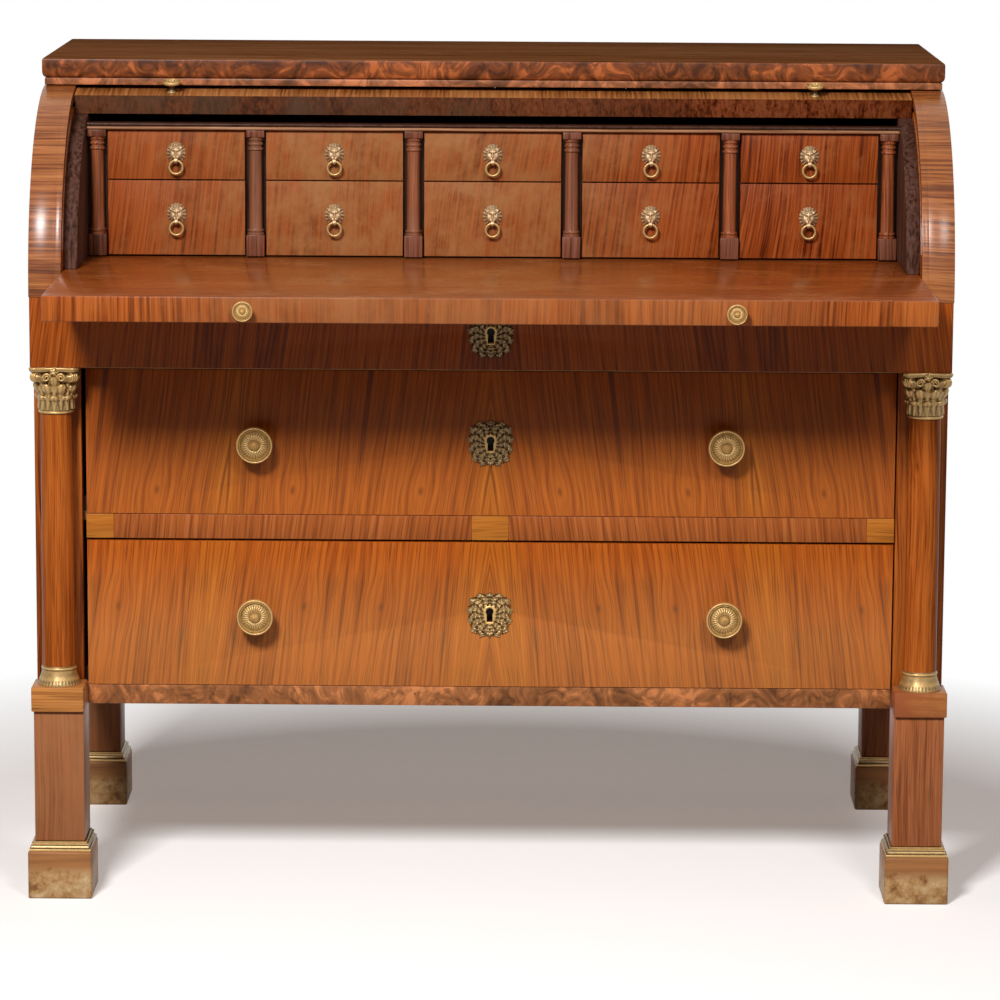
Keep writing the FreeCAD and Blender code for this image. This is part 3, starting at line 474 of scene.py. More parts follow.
def new_mesh(name, build):
    """Mesh from a bmesh, which is then freed."""
    mesh = bpy.data.meshes.new(name)
    build.to_mesh(mesh)
    build.free()
    return mesh


def dressed(name, build, finishes, smooth):
    """Mesh of a piece in its finishes, from a mesh or bmesh, shaded smooth up to an angle in degrees."""
    mesh = build
    if isinstance(build, bmesh.types.BMesh):
        bmesh.ops.remove_doubles(build, verts=build.verts, dist=1e-7)
        bmesh.ops.recalc_face_normals(build, faces=build.faces)
        mesh = new_mesh(name, build)
    for material in finishes:
        mesh.materials.append(finish(material))
    mesh.polygons.foreach_set("use_smooth", [True] * len(mesh.polygons))
    mesh.set_sharp_from_angle(angle=math.radians(smooth))
    return mesh


def add_object(name, data):
    """New object in the scene."""
    item = bpy.data.objects.new(name, data)
    bpy.context.scene.collection.objects.link(item)
    return item


def settle(piece, node, body):
    """Put a piece on its body and the node that it stands for."""
    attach(piece, body)
    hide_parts(node)


def make_piece(node, build, finishes, body="case", name=None, smooth=35.0):
    """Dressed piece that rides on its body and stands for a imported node."""
    name = (name or node) + "_dressed"
    settle(add_object(name, dressed(name, build, finishes, smooth)), node, body)


def dress(node, name):
    """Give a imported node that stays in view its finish."""
    mesh = frame["nodes"][node].data
    mesh.materials.clear()
    mesh.materials.append(finish(name))


def polar(radius, turn, height=0.0):
    """Point at an angle round an upright axis."""
    return Vector((radius * math.cos(turn), radius * math.sin(turn), height))


def bounded(value, least=0.0, most=1.0):
    """A value kept between two others."""
    return max(least, min(most, value))


def span(sign, near, far):
    """Left and right ends of a stretch on one side of the desk."""
    return sorted((sign * near, sign * far))


def relief_build():
    """Empty bmesh with a layer for the relief that the brass wears on."""
    build = bmesh.new()
    return build, build.verts.layers.float.new("relief")


def in_mm(*place):
    """Frame for lengths in millimetres at a place on the desk."""
    return Matrix.Translation(place) @ Matrix.Scale(MM, 4)


# Largest eased edge, as a share of a board's least size
EDGE_MOST = 0.45


def board(build, first, last, edge=None, steps=2, material=0):
    """Board between two corners with eased edges."""
    edge = sizes().edge if edge is None else edge
    first, last = Vector(first), Vector(last)
    size = last - first
    verts = bmesh.ops.create_cube(build, size=1.0)["verts"]
    bmesh.ops.scale(build, vec=size, verts=verts)
    bmesh.ops.translate(build, vec=(first + last) / 2, verts=verts)
    for face in {face for vert in verts for face in vert.link_faces}:
        face.material_index = material
    if edge:
        lines = {line for vert in verts for line in vert.link_edges}
        bmesh.ops.bevel(build, geom=list(lines), offset=min(edge, min(size) * EDGE_MOST), segments=steps,
                        profile=0.5, affect="EDGES", material=material)


def surface(build, rows, columns, place, layer=None, shine=None):
    """Rings of faces through a grid of points."""
    grid = []
    for row in range(rows):
        grid.append([build.verts.new(place(row, column)) for column in range(columns)])
        if layer is not None:
            for column, vert in enumerate(grid[row]):
                vert[layer] = shine(row, column)
    for under, over in zip(grid, grid[1:]):
        for column in range(columns):
            after = (column + 1) % columns
            build.faces.new((under[column], under[after], over[after], over[column]))
    return grid


def close_ends(build, grid):
    """Faces across the first and the last ring of a grid."""
    build.faces.new(list(reversed(grid[0])))
    build.faces.new(grid[-1])


def moulded(build, first, last, profile, layer=None, shine=()):
    """Moulding round an upright block: profile holds steps outwards and upwards in millimetres."""
    def place(row, column):
        out, up = (step * MM for step in profile[row])
        return Vector(((last[0] + out, first[0] - out)[column in (2, 3)],
                       (first[1] - out, last[1] + out)[column in (1, 2)], first[2] + up))

    return surface(build, len(profile), 4, place, layer, lambda row, column: shine[row])


def lathe(build, profile, carry, steps=None, layer=None, shine=()):
    """Turned form: profile holds radii and heights, and carry takes them into place."""
    steps = steps or sizes().turned_steps

    def place(row, column):
        radius, height = profile[row]
        return carry @ polar(radius, FULL * column / steps, height)

    surface(build, len(profile), steps, place, layer, lambda row, column: shine[row])


def tube(build, path, radii, steps, layer, tone):
    """Round bar along a path, with its own radius at each point."""
    frames, side = [], None
    for index in range(len(path)):
        ahead = (path[min(index + 1, len(path) - 1)] - path[max(index - 1, 0)]).normalized()
        side = side or ahead.orthogonal().normalized()
        side = (side - ahead * side.dot(ahead)).normalized()
        frames.append((side, ahead.cross(side)))

    def place(row, column):
        around = polar(radii[row], FULL * column / steps)
        across, up = frames[row]
        return path[row] + across * around.x + up * around.y

    close_ends(build, surface(build, len(path), steps, place, layer, lambda row, column: tone))


def plate(name, loops, first, last, axis, edge):
    """Plate cut to outlines, lying between two places along an axis; inner outlines are holes."""
    curve = bpy.data.curves.new(name, "CURVE")
    curve.dimensions = "2D"
    curve.fill_mode = "BOTH"
    curve.extrude = (last - first) / 2 - edge
    curve.bevel_depth = edge
    curve.bevel_resolution = 1
    curve.offset = -edge
    for loop in loops:
        spline = curve.splines.new("POLY")
        spline.points.add(len(loop) - 1)
        for point, (across, up) in zip(spline.points, loop):
            point.co = (across, up, 0, 1)
        spline.use_cyclic_u = True
    holder = add_object(name + "_outline", curve)
    bpy.context.view_layer.update()
    mesh = bpy.data.meshes.new_from_object(holder.evaluated_get(bpy.context.evaluated_depsgraph_get()))
    bpy.data.objects.remove(holder)
    bpy.data.curves.remove(curve)
    middle = (first + last) / 2
    mesh.transform({"X": Matrix(((0, 0, 1, middle), (1, 0, 0, 0), (0, 1, 0, 0), (0, 0, 0, 1))),
                    "Y": Matrix(((1, 0, 0, 0), (0, 0, -1, middle), (0, 1, 0, 0), (0, 0, 0, 1)))}[axis])
    return mesh


def joined(*meshes):
    """Several meshes as one bmesh."""
    build = bmesh.new()
    for mesh in meshes:
        build.from_mesh(mesh)
        bpy.data.meshes.remove(mesh)
    return build


def mirrored(mesh):
    """Twin of a mesh on the other side of the desk."""
    twin = mesh.copy()
    twin.transform(Matrix.Diagonal((-1, 1, 1, 1)))
    twin.flip_normals()
    return twin


def refinish(faces, test, index):
    """Give the faces that pass a test another of the piece's finishes."""
    for face in faces:
        if test(face):
            face.material_index = index


def arc(radius, start, stop, steps):
    """Points along an arc about the cylinder's axis, with angles from the front upwards."""
    turns = [start + (stop - start) * step / steps for step in range(steps + 1)]
    return [(AXIS.y - radius * math.cos(turn), AXIS.z + radius * math.sin(turn)) for turn in turns]


def band(first, second, start, stop, steps, second_start=None):
    """Outline between two arcs."""
    back = arc(second, start if second_start is None else second_start, stop, steps)
    return arc(first, start, stop, steps) + back[::-1]


KEY_EYE, KEY_SLOT, KEY_TALL, KEY_STEPS = 4.7 * MM, 3.5 * MM, 9 * MM, 24


def keyhole(z):
    """Outline of a keyhole at a height."""
    top, start = z + KEY_TALL - KEY_EYE, math.asin(KEY_SLOT / KEY_EYE)
    neck = top - KEY_EYE * math.cos(start)
    points = [(KEY_SLOT, z - KEY_TALL), (KEY_SLOT, neck)]
    for step in range(1, KEY_STEPS):
        turn = start - QUARTER + (FULL - 2 * start) * step / KEY_STEPS
        points.append((KEY_EYE * math.cos(turn), top + KEY_EYE * math.sin(turn)))
    return points + [(-KEY_SLOT, neck), (-KEY_SLOT, z - KEY_TALL)]


class DeskOperator:
    """Shared settings of the desk's operators."""
    bl_options = {"REGISTER", "UNDO"}


class DESK_OT_sides(DeskOperator, bpy.types.Operator):
    """Sides with quarter-round front edges and the grooves that carry the cylinder"""
    bl_idname = "desk.sides"
    bl_label = "Sides"

    def execute(self, context):
        ledge, groove_deep, seam = FRONT + 22.4 * MM, 8.4 * MM, 0.1 * MM
        groove_inner, groove_outer = 224.7 * MM, 235.3 * MM
        groove_start, groove_stop = math.radians(12.9), SWING + math.radians(94.1)
        front_steps, groove_steps = 56, 72
        outline = [(STILE_BACK, CASE_LOW), (CASE_BACK, CASE_LOW), (CASE_BACK, CASE_TOP)]
        outline += arc(CASE_TOP - AXIS.z, 0, QUARTER, front_steps)[::-1]
        outline += [(FRONT, BED_TOP), (ledge, BED_TOP), (ledge, FRIEZE_LOW), (RECESS, FRIEZE_LOW),
                    (RECESS, STILE_TOP), (STILE_BACK, STILE_TOP)]
        groove = band(groove_inner, groove_outer, groove_start, groove_stop, groove_steps)
        wall = INNER_HALF + groove_deep
        inner = plate("side_inner", [outline, groove], INNER_HALF, wall, "X", seam)
        outer = plate("side_outer", [outline], wall, CASE_HALF, "X", seam)
        for node, layers in (("side_right", (inner.copy(), outer.copy())),
                             ("side_left", (mirrored(inner), mirrored(outer)))):
            mesh = new_mesh(node, joined(*layers))
            refinish(mesh.polygons, lambda face: abs(face.normal.x) < 0.6, 1)
            make_piece(node, mesh, ("side_veneer", "edge_veneer"))
        return {"FINISHED"}


class DESK_OT_top(DeskOperator, bpy.types.Operator):
    """Burr-veneered top with a rounded edge over its thinner under-board"""
    bl_idname = "desk.top"
    bl_label = "Top"

    def execute(self, context):
        first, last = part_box("top_board")
        split, inset, set_back = CASE_TOP + 9 * MM, 1 * MM, 3 * MM
        tall = (last.z - split) / MM
        profile = [(-7.0, 0.0), (-4.6, 0.5), (-2.6, 1.6), (-1.1, 3.4), (-0.3, 5.8), (0.0, 8.4),
                   (0.0, tall - 3.0), (-0.5, tall - 1.4), (-1.5, tall - 0.4), (-3.2, tall)]
        build = bmesh.new()
        close_ends(build, moulded(build, (first.x, first.y, split), last, profile))
        build.normal_update()
        half = CASE_HALF - inset
        board(build, (-half, first.y + set_back, CASE_TOP), (half, CASE_BACK, split), material=1)
        refinish(build.faces, lambda face: face.normal.z > 0.7 and face.calc_center_median().z > split, 2)
        make_piece("top_board", build, ("top_burr", "under_burr", "top_veneer"), name="top")
        return {"FINISHED"}


class DESK_OT_back(DeskOperator, bpy.types.Operator):
    """Back panel of upright softwood planks"""
    bl_idname = "desk.back"
    bl_label = "Back panel"

    def execute(self, context):
        first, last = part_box("back_panel")
        build = bmesh.new()
        wide, gap, edge = (last.x - first.x) / sizes().planks, 0.3 * MM, 1.2 * MM
        for index in range(sizes().planks):
            left = first.x + index * wide
            board(build, (left + gap, first.y, first.z), (left + wide - gap, last.y, last.z), edge)
        make_piece("back_panel", build, ("softwood_planks",), name="back")
        return {"FINISHED"}


class DESK_OT_front_frame(DeskOperator, bpy.types.Operator):
    """Stiles behind the columns, the pieced rail and the burr bottom rail"""
    bl_idname = "desk.front_frame"
    bl_label = "Front frame"

    def execute(self, context):
        build = bmesh.new()
        inner, block, middle, gap = CASE_HALF - 66 * MM, 36 * MM, 24 * MM, 0.3 * MM
        reveals = {-1: 5.0 * MM, 1: 1.2 * MM}
        rail = high("lower_drawer").z + 2.8 * MM, low("upper_drawer").z - gap

        def member(ends, levels, material):
            board(build, (ends[0], RECESS, levels[0]), (ends[1], STILE_BACK, levels[1]), material=material)

        for sign in SIDES:
            member(span(sign, inner + reveals[sign], CASE_HALF), (CASE_LOW, STILE_TOP), 0)
        member((-inner, inner), (CASE_LOW, low("lower_drawer").z - gap), 1)
        member((-middle, middle), rail, 3)
        for sign in SIDES:
            member(span(sign, inner, inner - block), rail, 3)
            member(span(sign, middle, inner - block), rail, 2)
        finishes = ("frame_veneer", "rail_burr", "rail_veneer", "rail_block")
        make_piece("front_frame", build, finishes)
        return {"FINISHED"}


class DESK_OT_legs(DeskOperator, bpy.types.Operator):
    """Square legs and the column plinths on the front pair"""
    bl_idname = "desk.legs"
    bl_label = "Legs"

    def execute(self, context):
        build = bmesh.new()
        first = low("legs")
        set_back, wide, plinth_half, edge = 2 * MM, 65 * MM, 34 * MM, 1.6 * MM
        depth = STILE_BACK - FRONT - set_back
        for sign in SIDES:
            left, right = span(sign, CASE_HALF - wide, CASE_HALF)
            for near in (FRONT + set_back, CASE_BACK - depth):
                board(build, (left, near, first.z), (right, near + depth, CASE_LOW), edge)
            left, right = span(sign, COLUMN_X - plinth_half, COLUMN_X + plinth_half)
            board(build, (left, first.y, CASE_LOW), (right, RECESS, PLINTH_TOP), edge, material=1)
        make_piece("legs", build, ("leg_veneer", "plinth_veneer"))
        return {"FINISHED"}


# Foot moulding: steps outwards and upwards in millimetres, and how bright each is rubbed
FOOT_PROFILE = ((0, 0), (7, 0), (7.6, 0.8), (7.6, 2.6), (7.0, 3.4), (5.9, 3.8), (5.2, 4.6), (4.2, 6.2),
                (3.6, 7.8), (3.7, 8.2), (4.6, 8.5), (4.9, 9.4), (4.6, 10.2), (3.4, 10.5), (2.6, 10.7),
                (2.4, 11.2), (2.5, 12.2), (1.8, 12.8), (0, 12.8))
FOOT_SHINE = (0.2, 0.6, 0.95, 0.95, 0.7, 0.2, 0.35, 0.5, 0.35, 0.15, 0.7, 1.0, 0.8, 0.2, 0.3, 0.8, 0.9, 0.6,
              0.3)


class DESK_OT_feet(DeskOperator, bpy.types.Operator):
    """Foot blocks with worn gilding and their gilt mouldings"""
    bl_idname = "desk.feet"
    bl_label = "Feet"

    def execute(self, context):
        first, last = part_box("foot_blocks")
        wide, inset, edge, edge_steps = 83 * MM, 9 * MM, 2.6 * MM, 3
        deep = STILE_BACK - FRONT + 16 * MM
        build = bmesh.new()
        rings, layer = relief_build()
        for x in (first.x, last.x - wide):
            for y in (first.y, last.y - deep):
                board(build, (x, y, first.z), (x + wide, y + deep, last.z), edge, edge_steps)
                near, far = (x + inset, y + inset, last.z), (x + wide - inset, y + deep - inset)
                moulded(rings, near, far, FOOT_PROFILE, layer, FOOT_SHINE)
        make_piece("foot_blocks", build, ("foot",), name="feet")
        make_piece("foot_mouldings", rings, ("gilt",), smooth=50)
        return {"FINISHED"}


class DESK_OT_columns(DeskOperator, bpy.types.Operator):
    """Veneered column shafts with their slight swell"""
    bl_idname = "desk.columns"
    bl_label = "Column shafts"

    def execute(self, context):
        foot, head = low("column_shafts").z, high("column_shafts").z
        taper, swell, rings, steps = 1.2 * MM, 0.5 * MM, 12, 96
        profile = [(0, foot)]
        for ring in range(rings + 1):
            share = ring / rings
            radius = SHAFT - taper * share + swell * share * (1 - share)
            profile.append((radius, foot + share * (head - foot)))
        profile.append((0, head))
        build = bmesh.new()
        for sign in SIDES:
            lathe(build, profile, Matrix.Translation((sign * COLUMN_X, COLUMN_Y, 0)), steps)
        make_piece("column_shafts", build, ("column_veneer",), name="columns")
        return {"FINISHED"}


# Capital, in millimetres: tiers of leaves with their number, first angle, half width, foot, tip and curl
ACANTHUS = ((8, 0.0, 0.42, 0.00, 0.40, 4.4), (8, math.pi / 8, 0.42, 0.02, 0.70, 5.2),
            (4, math.pi / 4, 0.40, 0.30, 0.97, 8.6), (4, 0.0, 0.34, 0.30, 0.90, 3.4))
NECK = ((20.2, 0.2), (21.9, 0.4), (23.0, 1.6), (23.0, 3.2), (21.9, 4.4), (20.6, 4.8))
NECK_SHINE = (0.2, 0.7, 0.95, 0.95, 0.7, 0.15)
BELL_FOOT, BELL_FLARE, BELL_LOW, BELL_CUT = 20.6, 8.0, 4.8, 11.4
BELL_ROWS, BELL_COLUMNS = 96, 256
VOLUTE_DROP, FLOWER_DROP = 13.0, 5.5
CORNER_OUT, CORNER_SHIFTS, CORNER_SCROLL = 33.0, (-3.2, 0, 3.2), (6.6, 1.8, 1.9)
FACE_OUT, FACE_ASIDE, FACE_SCROLL = 27.5, 9.5, (5.4, 1.6, 1.6)
FLOWER_OUT, FLOWER_RADIUS, FLOWER_LIFT = 27.0, 6.6, 3.0
FLOWER_PETALS, FLOWER_ROWS, FLOWER_COLUMNS = 5, 6, 30
ABACUS_HALF, ABACUS_CLIP, ABACUS_HOLLOW, ABACUS_STEPS = 32.0, 26.5, 27.6, 12
ABACUS = ((-2.4, 6.4), (-1.4, 5.2), (-0.6, 4.0), (-0.6, 3.2), (0, 2.8), (0, 0.6), (-0.5, 0))
ABACUS_SHINE = (0.25, 0.55, 0.8, 0.2, 0.7, 1.0, 0.8)

# Base of a column, in millimetres, up to its top
BASE = ((0, 0), (28.0, 0), (28.2, 1.0), (27.9, 2.6), (27.1, 4.4), (26.3, 6.2), (25.7, 7.6), (25.3, 8.6),
        (24.9, 9.8), (24.3, 11.4), (23.5, 13.6), (22.8, 16.0), (22.2, 18.6), (21.9, 20.2), (22.6, 20.6),
        (23.2, 21.8), (22.9, 23.4), (21.9, 24.0))
BASE_TOP = 21.4
BASE_SHINE = (0.2, 0.6, 0.85, 0.7, 0.55, 0.65, 0.75, 0.8, 0.75, 0.65, 0.55, 0.6, 0.65, 0.3, 0.6, 1.0, 0.8,
              0.3, 0.4, 0.4)
BASE_STEPS, FLUTES, FLUTE_DEEP, FLUTE_DARK, FLUTED = 144, 18, 0.6, 0.3, range(1, 6)


def acanthus(turn, rise):
    """Stand-off of the acanthus leaves from the bell, in millimetres, and their shine."""
    best, shine = 0.0, 0.05
    for number, phase, half, foot, tip, curl in ACANTHUS:
        along = (rise - foot) / (tip - foot)
        if not 0 <= along <= 1:
            continue
        pitch = FULL / number
        across = (turn - phase + pitch / 2) % pitch - pitch / 2
        lobes = 0.78 + 0.22 * abs(math.cos(along * math.pi * 4.5))
        taper = math.sqrt(1 - 0.80 * max(0.0, (along - 0.55) / 0.45) ** 2)
        share = abs(across) / (half * lobes * taper)
        if share >= 1:
            continue
        rib = math.cos(share * math.pi * 3 - along * 4)
        roll = math.sin(math.pi * bounded((along - 0.60) / 0.40) * 0.72)
        stand = 0.6 + 1.6 * (1 - share * share) + 0.9 * math.exp(-(share / 0.18) ** 2)
        stand += 0.6 * rib * (1 - share) + curl * roll * (1 - 0.4 * share * share)
        if stand > best:
            best, shine = stand, 0.34 + 0.26 * (1 - share) + 0.26 * rib + 0.32 * roll
    return best, bounded(shine, 0.05)


def scroll(build, layer, carry, centre, out, size, turns, thick):
    """Spiral volute in an upright plane, in millimetres."""
    path, radii = [], []
    steps = int(26 * turns)
    for step in range(steps + 1):
        share = step / steps
        ahead = polar(size * (1 - 0.82 * share), math.pi * 0.95 - share * turns * FULL)
        path.append(carry @ (centre + out * ahead.x + Vector((0, 0, ahead.y))))
        radii.append(thick * (1 - 0.35 * share) * MM)
    tube(build, path, radii, 8, layer, 0.85)


def flower(build, layer, carry):
    """Five-petalled flower of the abacus, in millimetres."""
    def place(row, column):
        share, turn = row / FLOWER_ROWS, FULL * column / FLOWER_COLUMNS
        radius = FLOWER_RADIUS * share * (0.78 + 0.22 * abs(math.cos(FLOWER_PETALS * turn / 2)))
        lift = FLOWER_LIFT * math.sin(math.pi * min(1, share * 0.8 + 0.2)) * (1 - 0.3 * share)
        return carry @ polar(radius, turn, lift)

    def shine(row, column):
        ridge = abs(math.cos(math.pi * FLOWER_PETALS * column / FLOWER_COLUMNS))
        return 1.0 if row < 2 else 0.3 + 0.6 * ridge

    surface(build, FLOWER_ROWS + 1, FLOWER_COLUMNS, place, layer, shine)


def before_stile(point):
    """A point of a column's mount kept in front of the stile, in millimetres."""
    return Vector((point.x, min(point.y, COLUMN_REAR), point.z))


def capital(build, layer, carry, tall):
    """Capital with two tiers of acanthus, volutes, flowers and a hollow-sided abacus, in millimetres."""
    lathe(build, NECK, carry, None, layer, NECK_SHINE)

    def leaves(row, column):
        return FULL * column / BELL_COLUMNS, row / (BELL_ROWS - 1)

    def bell(row, column):
        turn, rise = leaves(row, column)
        radius = BELL_FOOT + BELL_FLARE * rise ** 3 + acanthus(turn, rise)[0]
        return carry @ before_stile(polar(radius, turn, BELL_LOW + rise * (tall - BELL_CUT)))

    def rubbed(row, column):
        return acanthus(*leaves(row, column))[1]

    surface(build, BELL_ROWS, BELL_COLUMNS, bell, layer, rubbed)
    for index in range(4):
        turn = math.pi / 4 + index * QUARTER
        out, side = polar(1, turn), polar(1, turn + QUARTER)
        eye = Vector((0, 0, tall - VOLUTE_DROP))
        if out.y < 0.5:
            for shift in CORNER_SHIFTS:
                scroll(build, layer, carry, out * CORNER_OUT + side * shift + eye, out, *CORNER_SCROLL)
        turn += math.pi / 4
        out, side = polar(1, turn), polar(1, turn + QUARTER)
        if out.y < 0.5:
            for sign in SIDES:
                centre = out * FACE_OUT + side * (sign * FACE_ASIDE) + eye
                scroll(build, layer, carry, centre, side * sign, *FACE_SCROLL)
            spin = out.to_track_quat("Z", "Y").to_matrix().to_4x4()
            centre = Matrix.Translation(out * FLOWER_OUT + Vector((0, 0, tall - FLOWER_DROP)))
            flower(build, layer, carry @ centre @ spin)
    loops = []
    for grow, drop in ABACUS:
        loops.append([])
        for quarter in range(4):
            rotate = Matrix.Rotation(quarter * QUARTER, 4, "Z")
            for step in range(ABACUS_STEPS + 1):
                share = step / ABACUS_STEPS * 2 - 1
                bow = ABACUS_HOLLOW + (ABACUS_HALF - ABACUS_HOLLOW) * share * share
                point = rotate @ Vector((bow + grow, share * (ABACUS_CLIP + grow), tall - drop))
                loops[-1].append(carry @ before_stile(point))
    close_ends(build, surface(build, len(loops), len(loops[0]), lambda row, column: loops[row][column], layer,
                              lambda row, column: ABACUS_SHINE[row]))


def column_base(build, layer, carry, tall):
    """Turned base with a fluted, splayed foot, in millimetres."""
    profile = BASE + ((BASE_TOP, tall), (0, tall))

    def flute(row, column):
        return abs(math.sin(FULL * column / BASE_STEPS * FLUTES)) ** 3 if row in FLUTED else 0.0

    def place(row, column):
        radius, height = profile[row]
        radius -= FLUTE_DEEP * flute(row, column)
        return carry @ before_stile(polar(radius, FULL * column / BASE_STEPS, height))

    surface(build, len(profile), BASE_STEPS, place, layer,
            lambda row, column: BASE_SHINE[row] - FLUTE_DARK * flute(row, column))


class DESK_OT_column_mounts(DeskOperator, bpy.types.Operator):
    """Gilt capitals with two tiers of acanthus and corner volutes, and the turned bases"""
    bl_idname = "desk.column_mounts"
    bl_label = "Capitals and bases"

    def execute(self, context):
        for node, draw in (("column_capitals", capital), ("column_bases", column_base)):
            build, layer = relief_build()
            foot, head = low(node).z, high(node).z
            for sign in SIDES:
                draw(build, layer, in_mm(sign * COLUMN_X, COLUMN_Y, foot), (head - foot) / MM)
            make_piece(node, build, ("gilt",), smooth=60)
        return {"FINISHED"}


class DESK_OT_cheeks(DeskOperator, bpy.types.Operator):
    """Half-round cheeks inside the sides"""
    bl_idname = "desk.cheeks"
    bl_label = "Cheeks"

    def execute(self, context):
        radius = high("cylinder_cheeks").z - AXIS.z
        start = math.asin((low("cylinder_cheeks").z - AXIS.z) / radius)
        edge, steps = 0.8 * MM, 96
        outline = arc(radius, start, math.pi - start, steps)
        right = plate("cheek", [outline], NEST_HALF, INNER_HALF, "X", edge)
        build = joined(mirrored(right), right)
        make_piece("cylinder_cheeks", build, ("cheek_veneer",), name="cheeks")
        return {"FINISHED"}


# Colonnette: radii and heights in millimetres between its blocks
COLONNETTE = ((0, 27.9), (10.9, 27.9), (11.2, 29.0), (10.9, 30.9), (9.4, 31.2), (9.3, 32.0), (10.6, 32.3),
              (11.0, 33.6), (10.6, 34.9), (9.2, 35.2), (8.8, 36.5), (8.7, 60), (8.5, 100), (8.3, 138.4),
              (8.4, 139.0), (9.9, 139.4), (10.3, 140.6), (9.9, 141.8), (8.4, 142.2), (8.4, 145.6),
              (9.7, 146.0), (10.1, 147.2), (9.7, 148.4), (8.5, 148.8), (8.6, 151.4), (10.0, 151.8),
              (10.6, 153.4), (10.8, 156.0), (0, 156.1))


class DESK_OT_nest(DeskOperator, bpy.types.Operator):
    """Nest: inner case in a near-black finish as painted shade, beaded cornice and turned colonnettes"""
    bl_idname = "desk.nest"
    bl_label = "Nest"

    def cornice(self):
        first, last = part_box("nest_cornice")
        bead, steps = 2.2 * MM, 8
        section = [(last.y, first.z)]
        for middle in (first.z + bead, last.z - bead):
            for step in range(steps + 1):
                turn = math.pi * step / steps - QUARTER
                section.append((first.y + bead - bead * math.cos(turn), middle + bead * math.sin(turn)))
        section.append((last.y, last.z))
        ends = (first.x, last.x)
        build = bmesh.new()
        grid = surface(build, 2, len(section), lambda row, column: Vector((ends[row], *section[column])))
        close_ends(build, grid)
        # Upper bead and top of the cornice in the near-black finish: painted shade
        refinish(build.faces, lambda face: face.calc_center_median().z > first.z + 2 * bead, 1)
        make_piece("nest_cornice", build, ("nest_bead", "nest_frame"), name="cornice")

    def colonnettes(self):
        first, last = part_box("nest_colonnettes")
        half, foot, head, set_forward = 12 * MM, 28 * MM, 9 * MM, 0.3 * MM
        blocks = ((first.z, first.z + foot, 1.0 * MM), (last.z - head, last.z, 0.8 * MM))
        pitch, steps = (last.x - first.x - 2 * half) / NEST_COLUMNS, 40
        build = bmesh.new()
        for index in range(NEST_COLUMNS + 1):
            x = first.x + half + index * pitch
            for start, stop, edge in blocks:
                board(build, (x - half, first.y, start), (x + half, last.y, stop), edge, material=1)
            lathe(build, COLONNETTE, in_mm(x, first.y + half - set_forward, first.z), steps)
        make_piece("nest_colonnettes", build, ("colonnette_wood", "colonnette_block"),
                   name="colonnettes", smooth=40)

    def execute(self, context):
        # Nest case in the near-black finish: painted shade in the gaps round the small drawers
        dress("nest_case", "nest_frame")
        self.cornice()
        self.colonnettes()
        return {"FINISHED"}


class DESK_OT_inner_boards(DeskOperator, bpy.types.Operator):
    """Softwood boards inside the case, and drawer guides in a near-black finish as painted shade in the
    drawer gaps
    """
    bl_idname = "desk.inner_boards"
    bl_label = "Inner boards"

    def execute(self, context):
        dress("case_boards", "softwood")
        dress("drawer_guides", "guide_wood")
        return {"FINISHED"}


class DESK_OT_slide(DeskOperator, bpy.types.Operator):
    """Writing slide with its veneered front edge"""
    bl_idname = "desk.slide"
    bl_label = "Writing slide"

    def execute(self, context):
        build = bmesh.new()
        edge, edge_steps = 1.6 * MM, 3
        board(build, *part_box("writing_slide"), edge, edge_steps)
        refinish(build.faces, lambda face: face.normal.y < -0.6, 1)
        finishes = ("slide_veneer", "slide_edge")
        make_piece("writing_slide", build, finishes, "writing_slide", "slide")
        return {"FINISHED"}


class DESK_OT_cylinder(DeskOperator, bpy.types.Operator):
    """Cylinder fall: smooth veneered drum, pieced leading edge and end tongues"""
    bl_idname = "desk.cylinder"
    bl_label = "Cylinder"

    def execute(self, context):
        tongue_outer, tongue_inner, tongue_root, tongue_reach = 235 * MM, 225 * MM, 0.5 * MM, 8 * MM
        drum_edge, tongue_edge, rail_edge = 0.4 * MM, 0.3 * MM, 0.8 * MM
        drum_steps, rail_steps = 80, 12
        outline = band(FALL_RADIUS, FALL_INNER, FALL_SPLIT, FALL_REAR, drum_steps)
        drum = plate("drum", [outline], -FALL_HALF, FALL_HALF, "X", drum_edge)
        outline = band(tongue_outer, tongue_inner, FALL_SPLIT, FALL_REAR, drum_steps)
        root, reach = FALL_HALF - tongue_root, FALL_HALF + tongue_reach
        tongue = plate("tongue", [outline], root, reach, "X", tongue_edge)
        build = joined(drum, mirrored(tongue), tongue)
        make_piece("cylinder_staves", build, ("cylinder_veneer",), "cylinder", "cylinder")
        inner_edge = SWING + math.asin(FALL_LEVEL / FALL_INNER)
        outline = band(FALL_RADIUS, FALL_INNER, FALL_EDGE, FALL_SPLIT, rail_steps, inner_edge)
        rail = plate("rail", [outline], -FALL_HALF, FALL_HALF, "X", rail_edge)
        ahead = Vector((0, -math.sin(FALL_EDGE), -math.cos(FALL_EDGE)))
        refinish(rail.polygons, lambda face: face.normal.dot(ahead) > 0.8, 1)
        make_piece("cylinder_rail", rail, ("cylinder_veneer", "cylinder_edge"), "cylinder")
        return {"FINISHED"}


def drawer_box(build, first, last, side, bottom, edge, back_top):
    """Sides, back and bottom of a drawer behind its front; bottom holds the levels of the bottom's faces."""
    (left, near, base), (right, far, top) = first, last
    for start, stop in ((left, left + side), (right - side, right)):
        board(build, (start, near, base), (stop, far, top), edge, 1, 1)
    board(build, (left + side, far - side, base), (right - side, far, back_top), edge, 1, 1)
    board(build, (left + side, near, base + bottom[0]), (right - side, far - side, base + bottom[1]), 0, 1, 1)


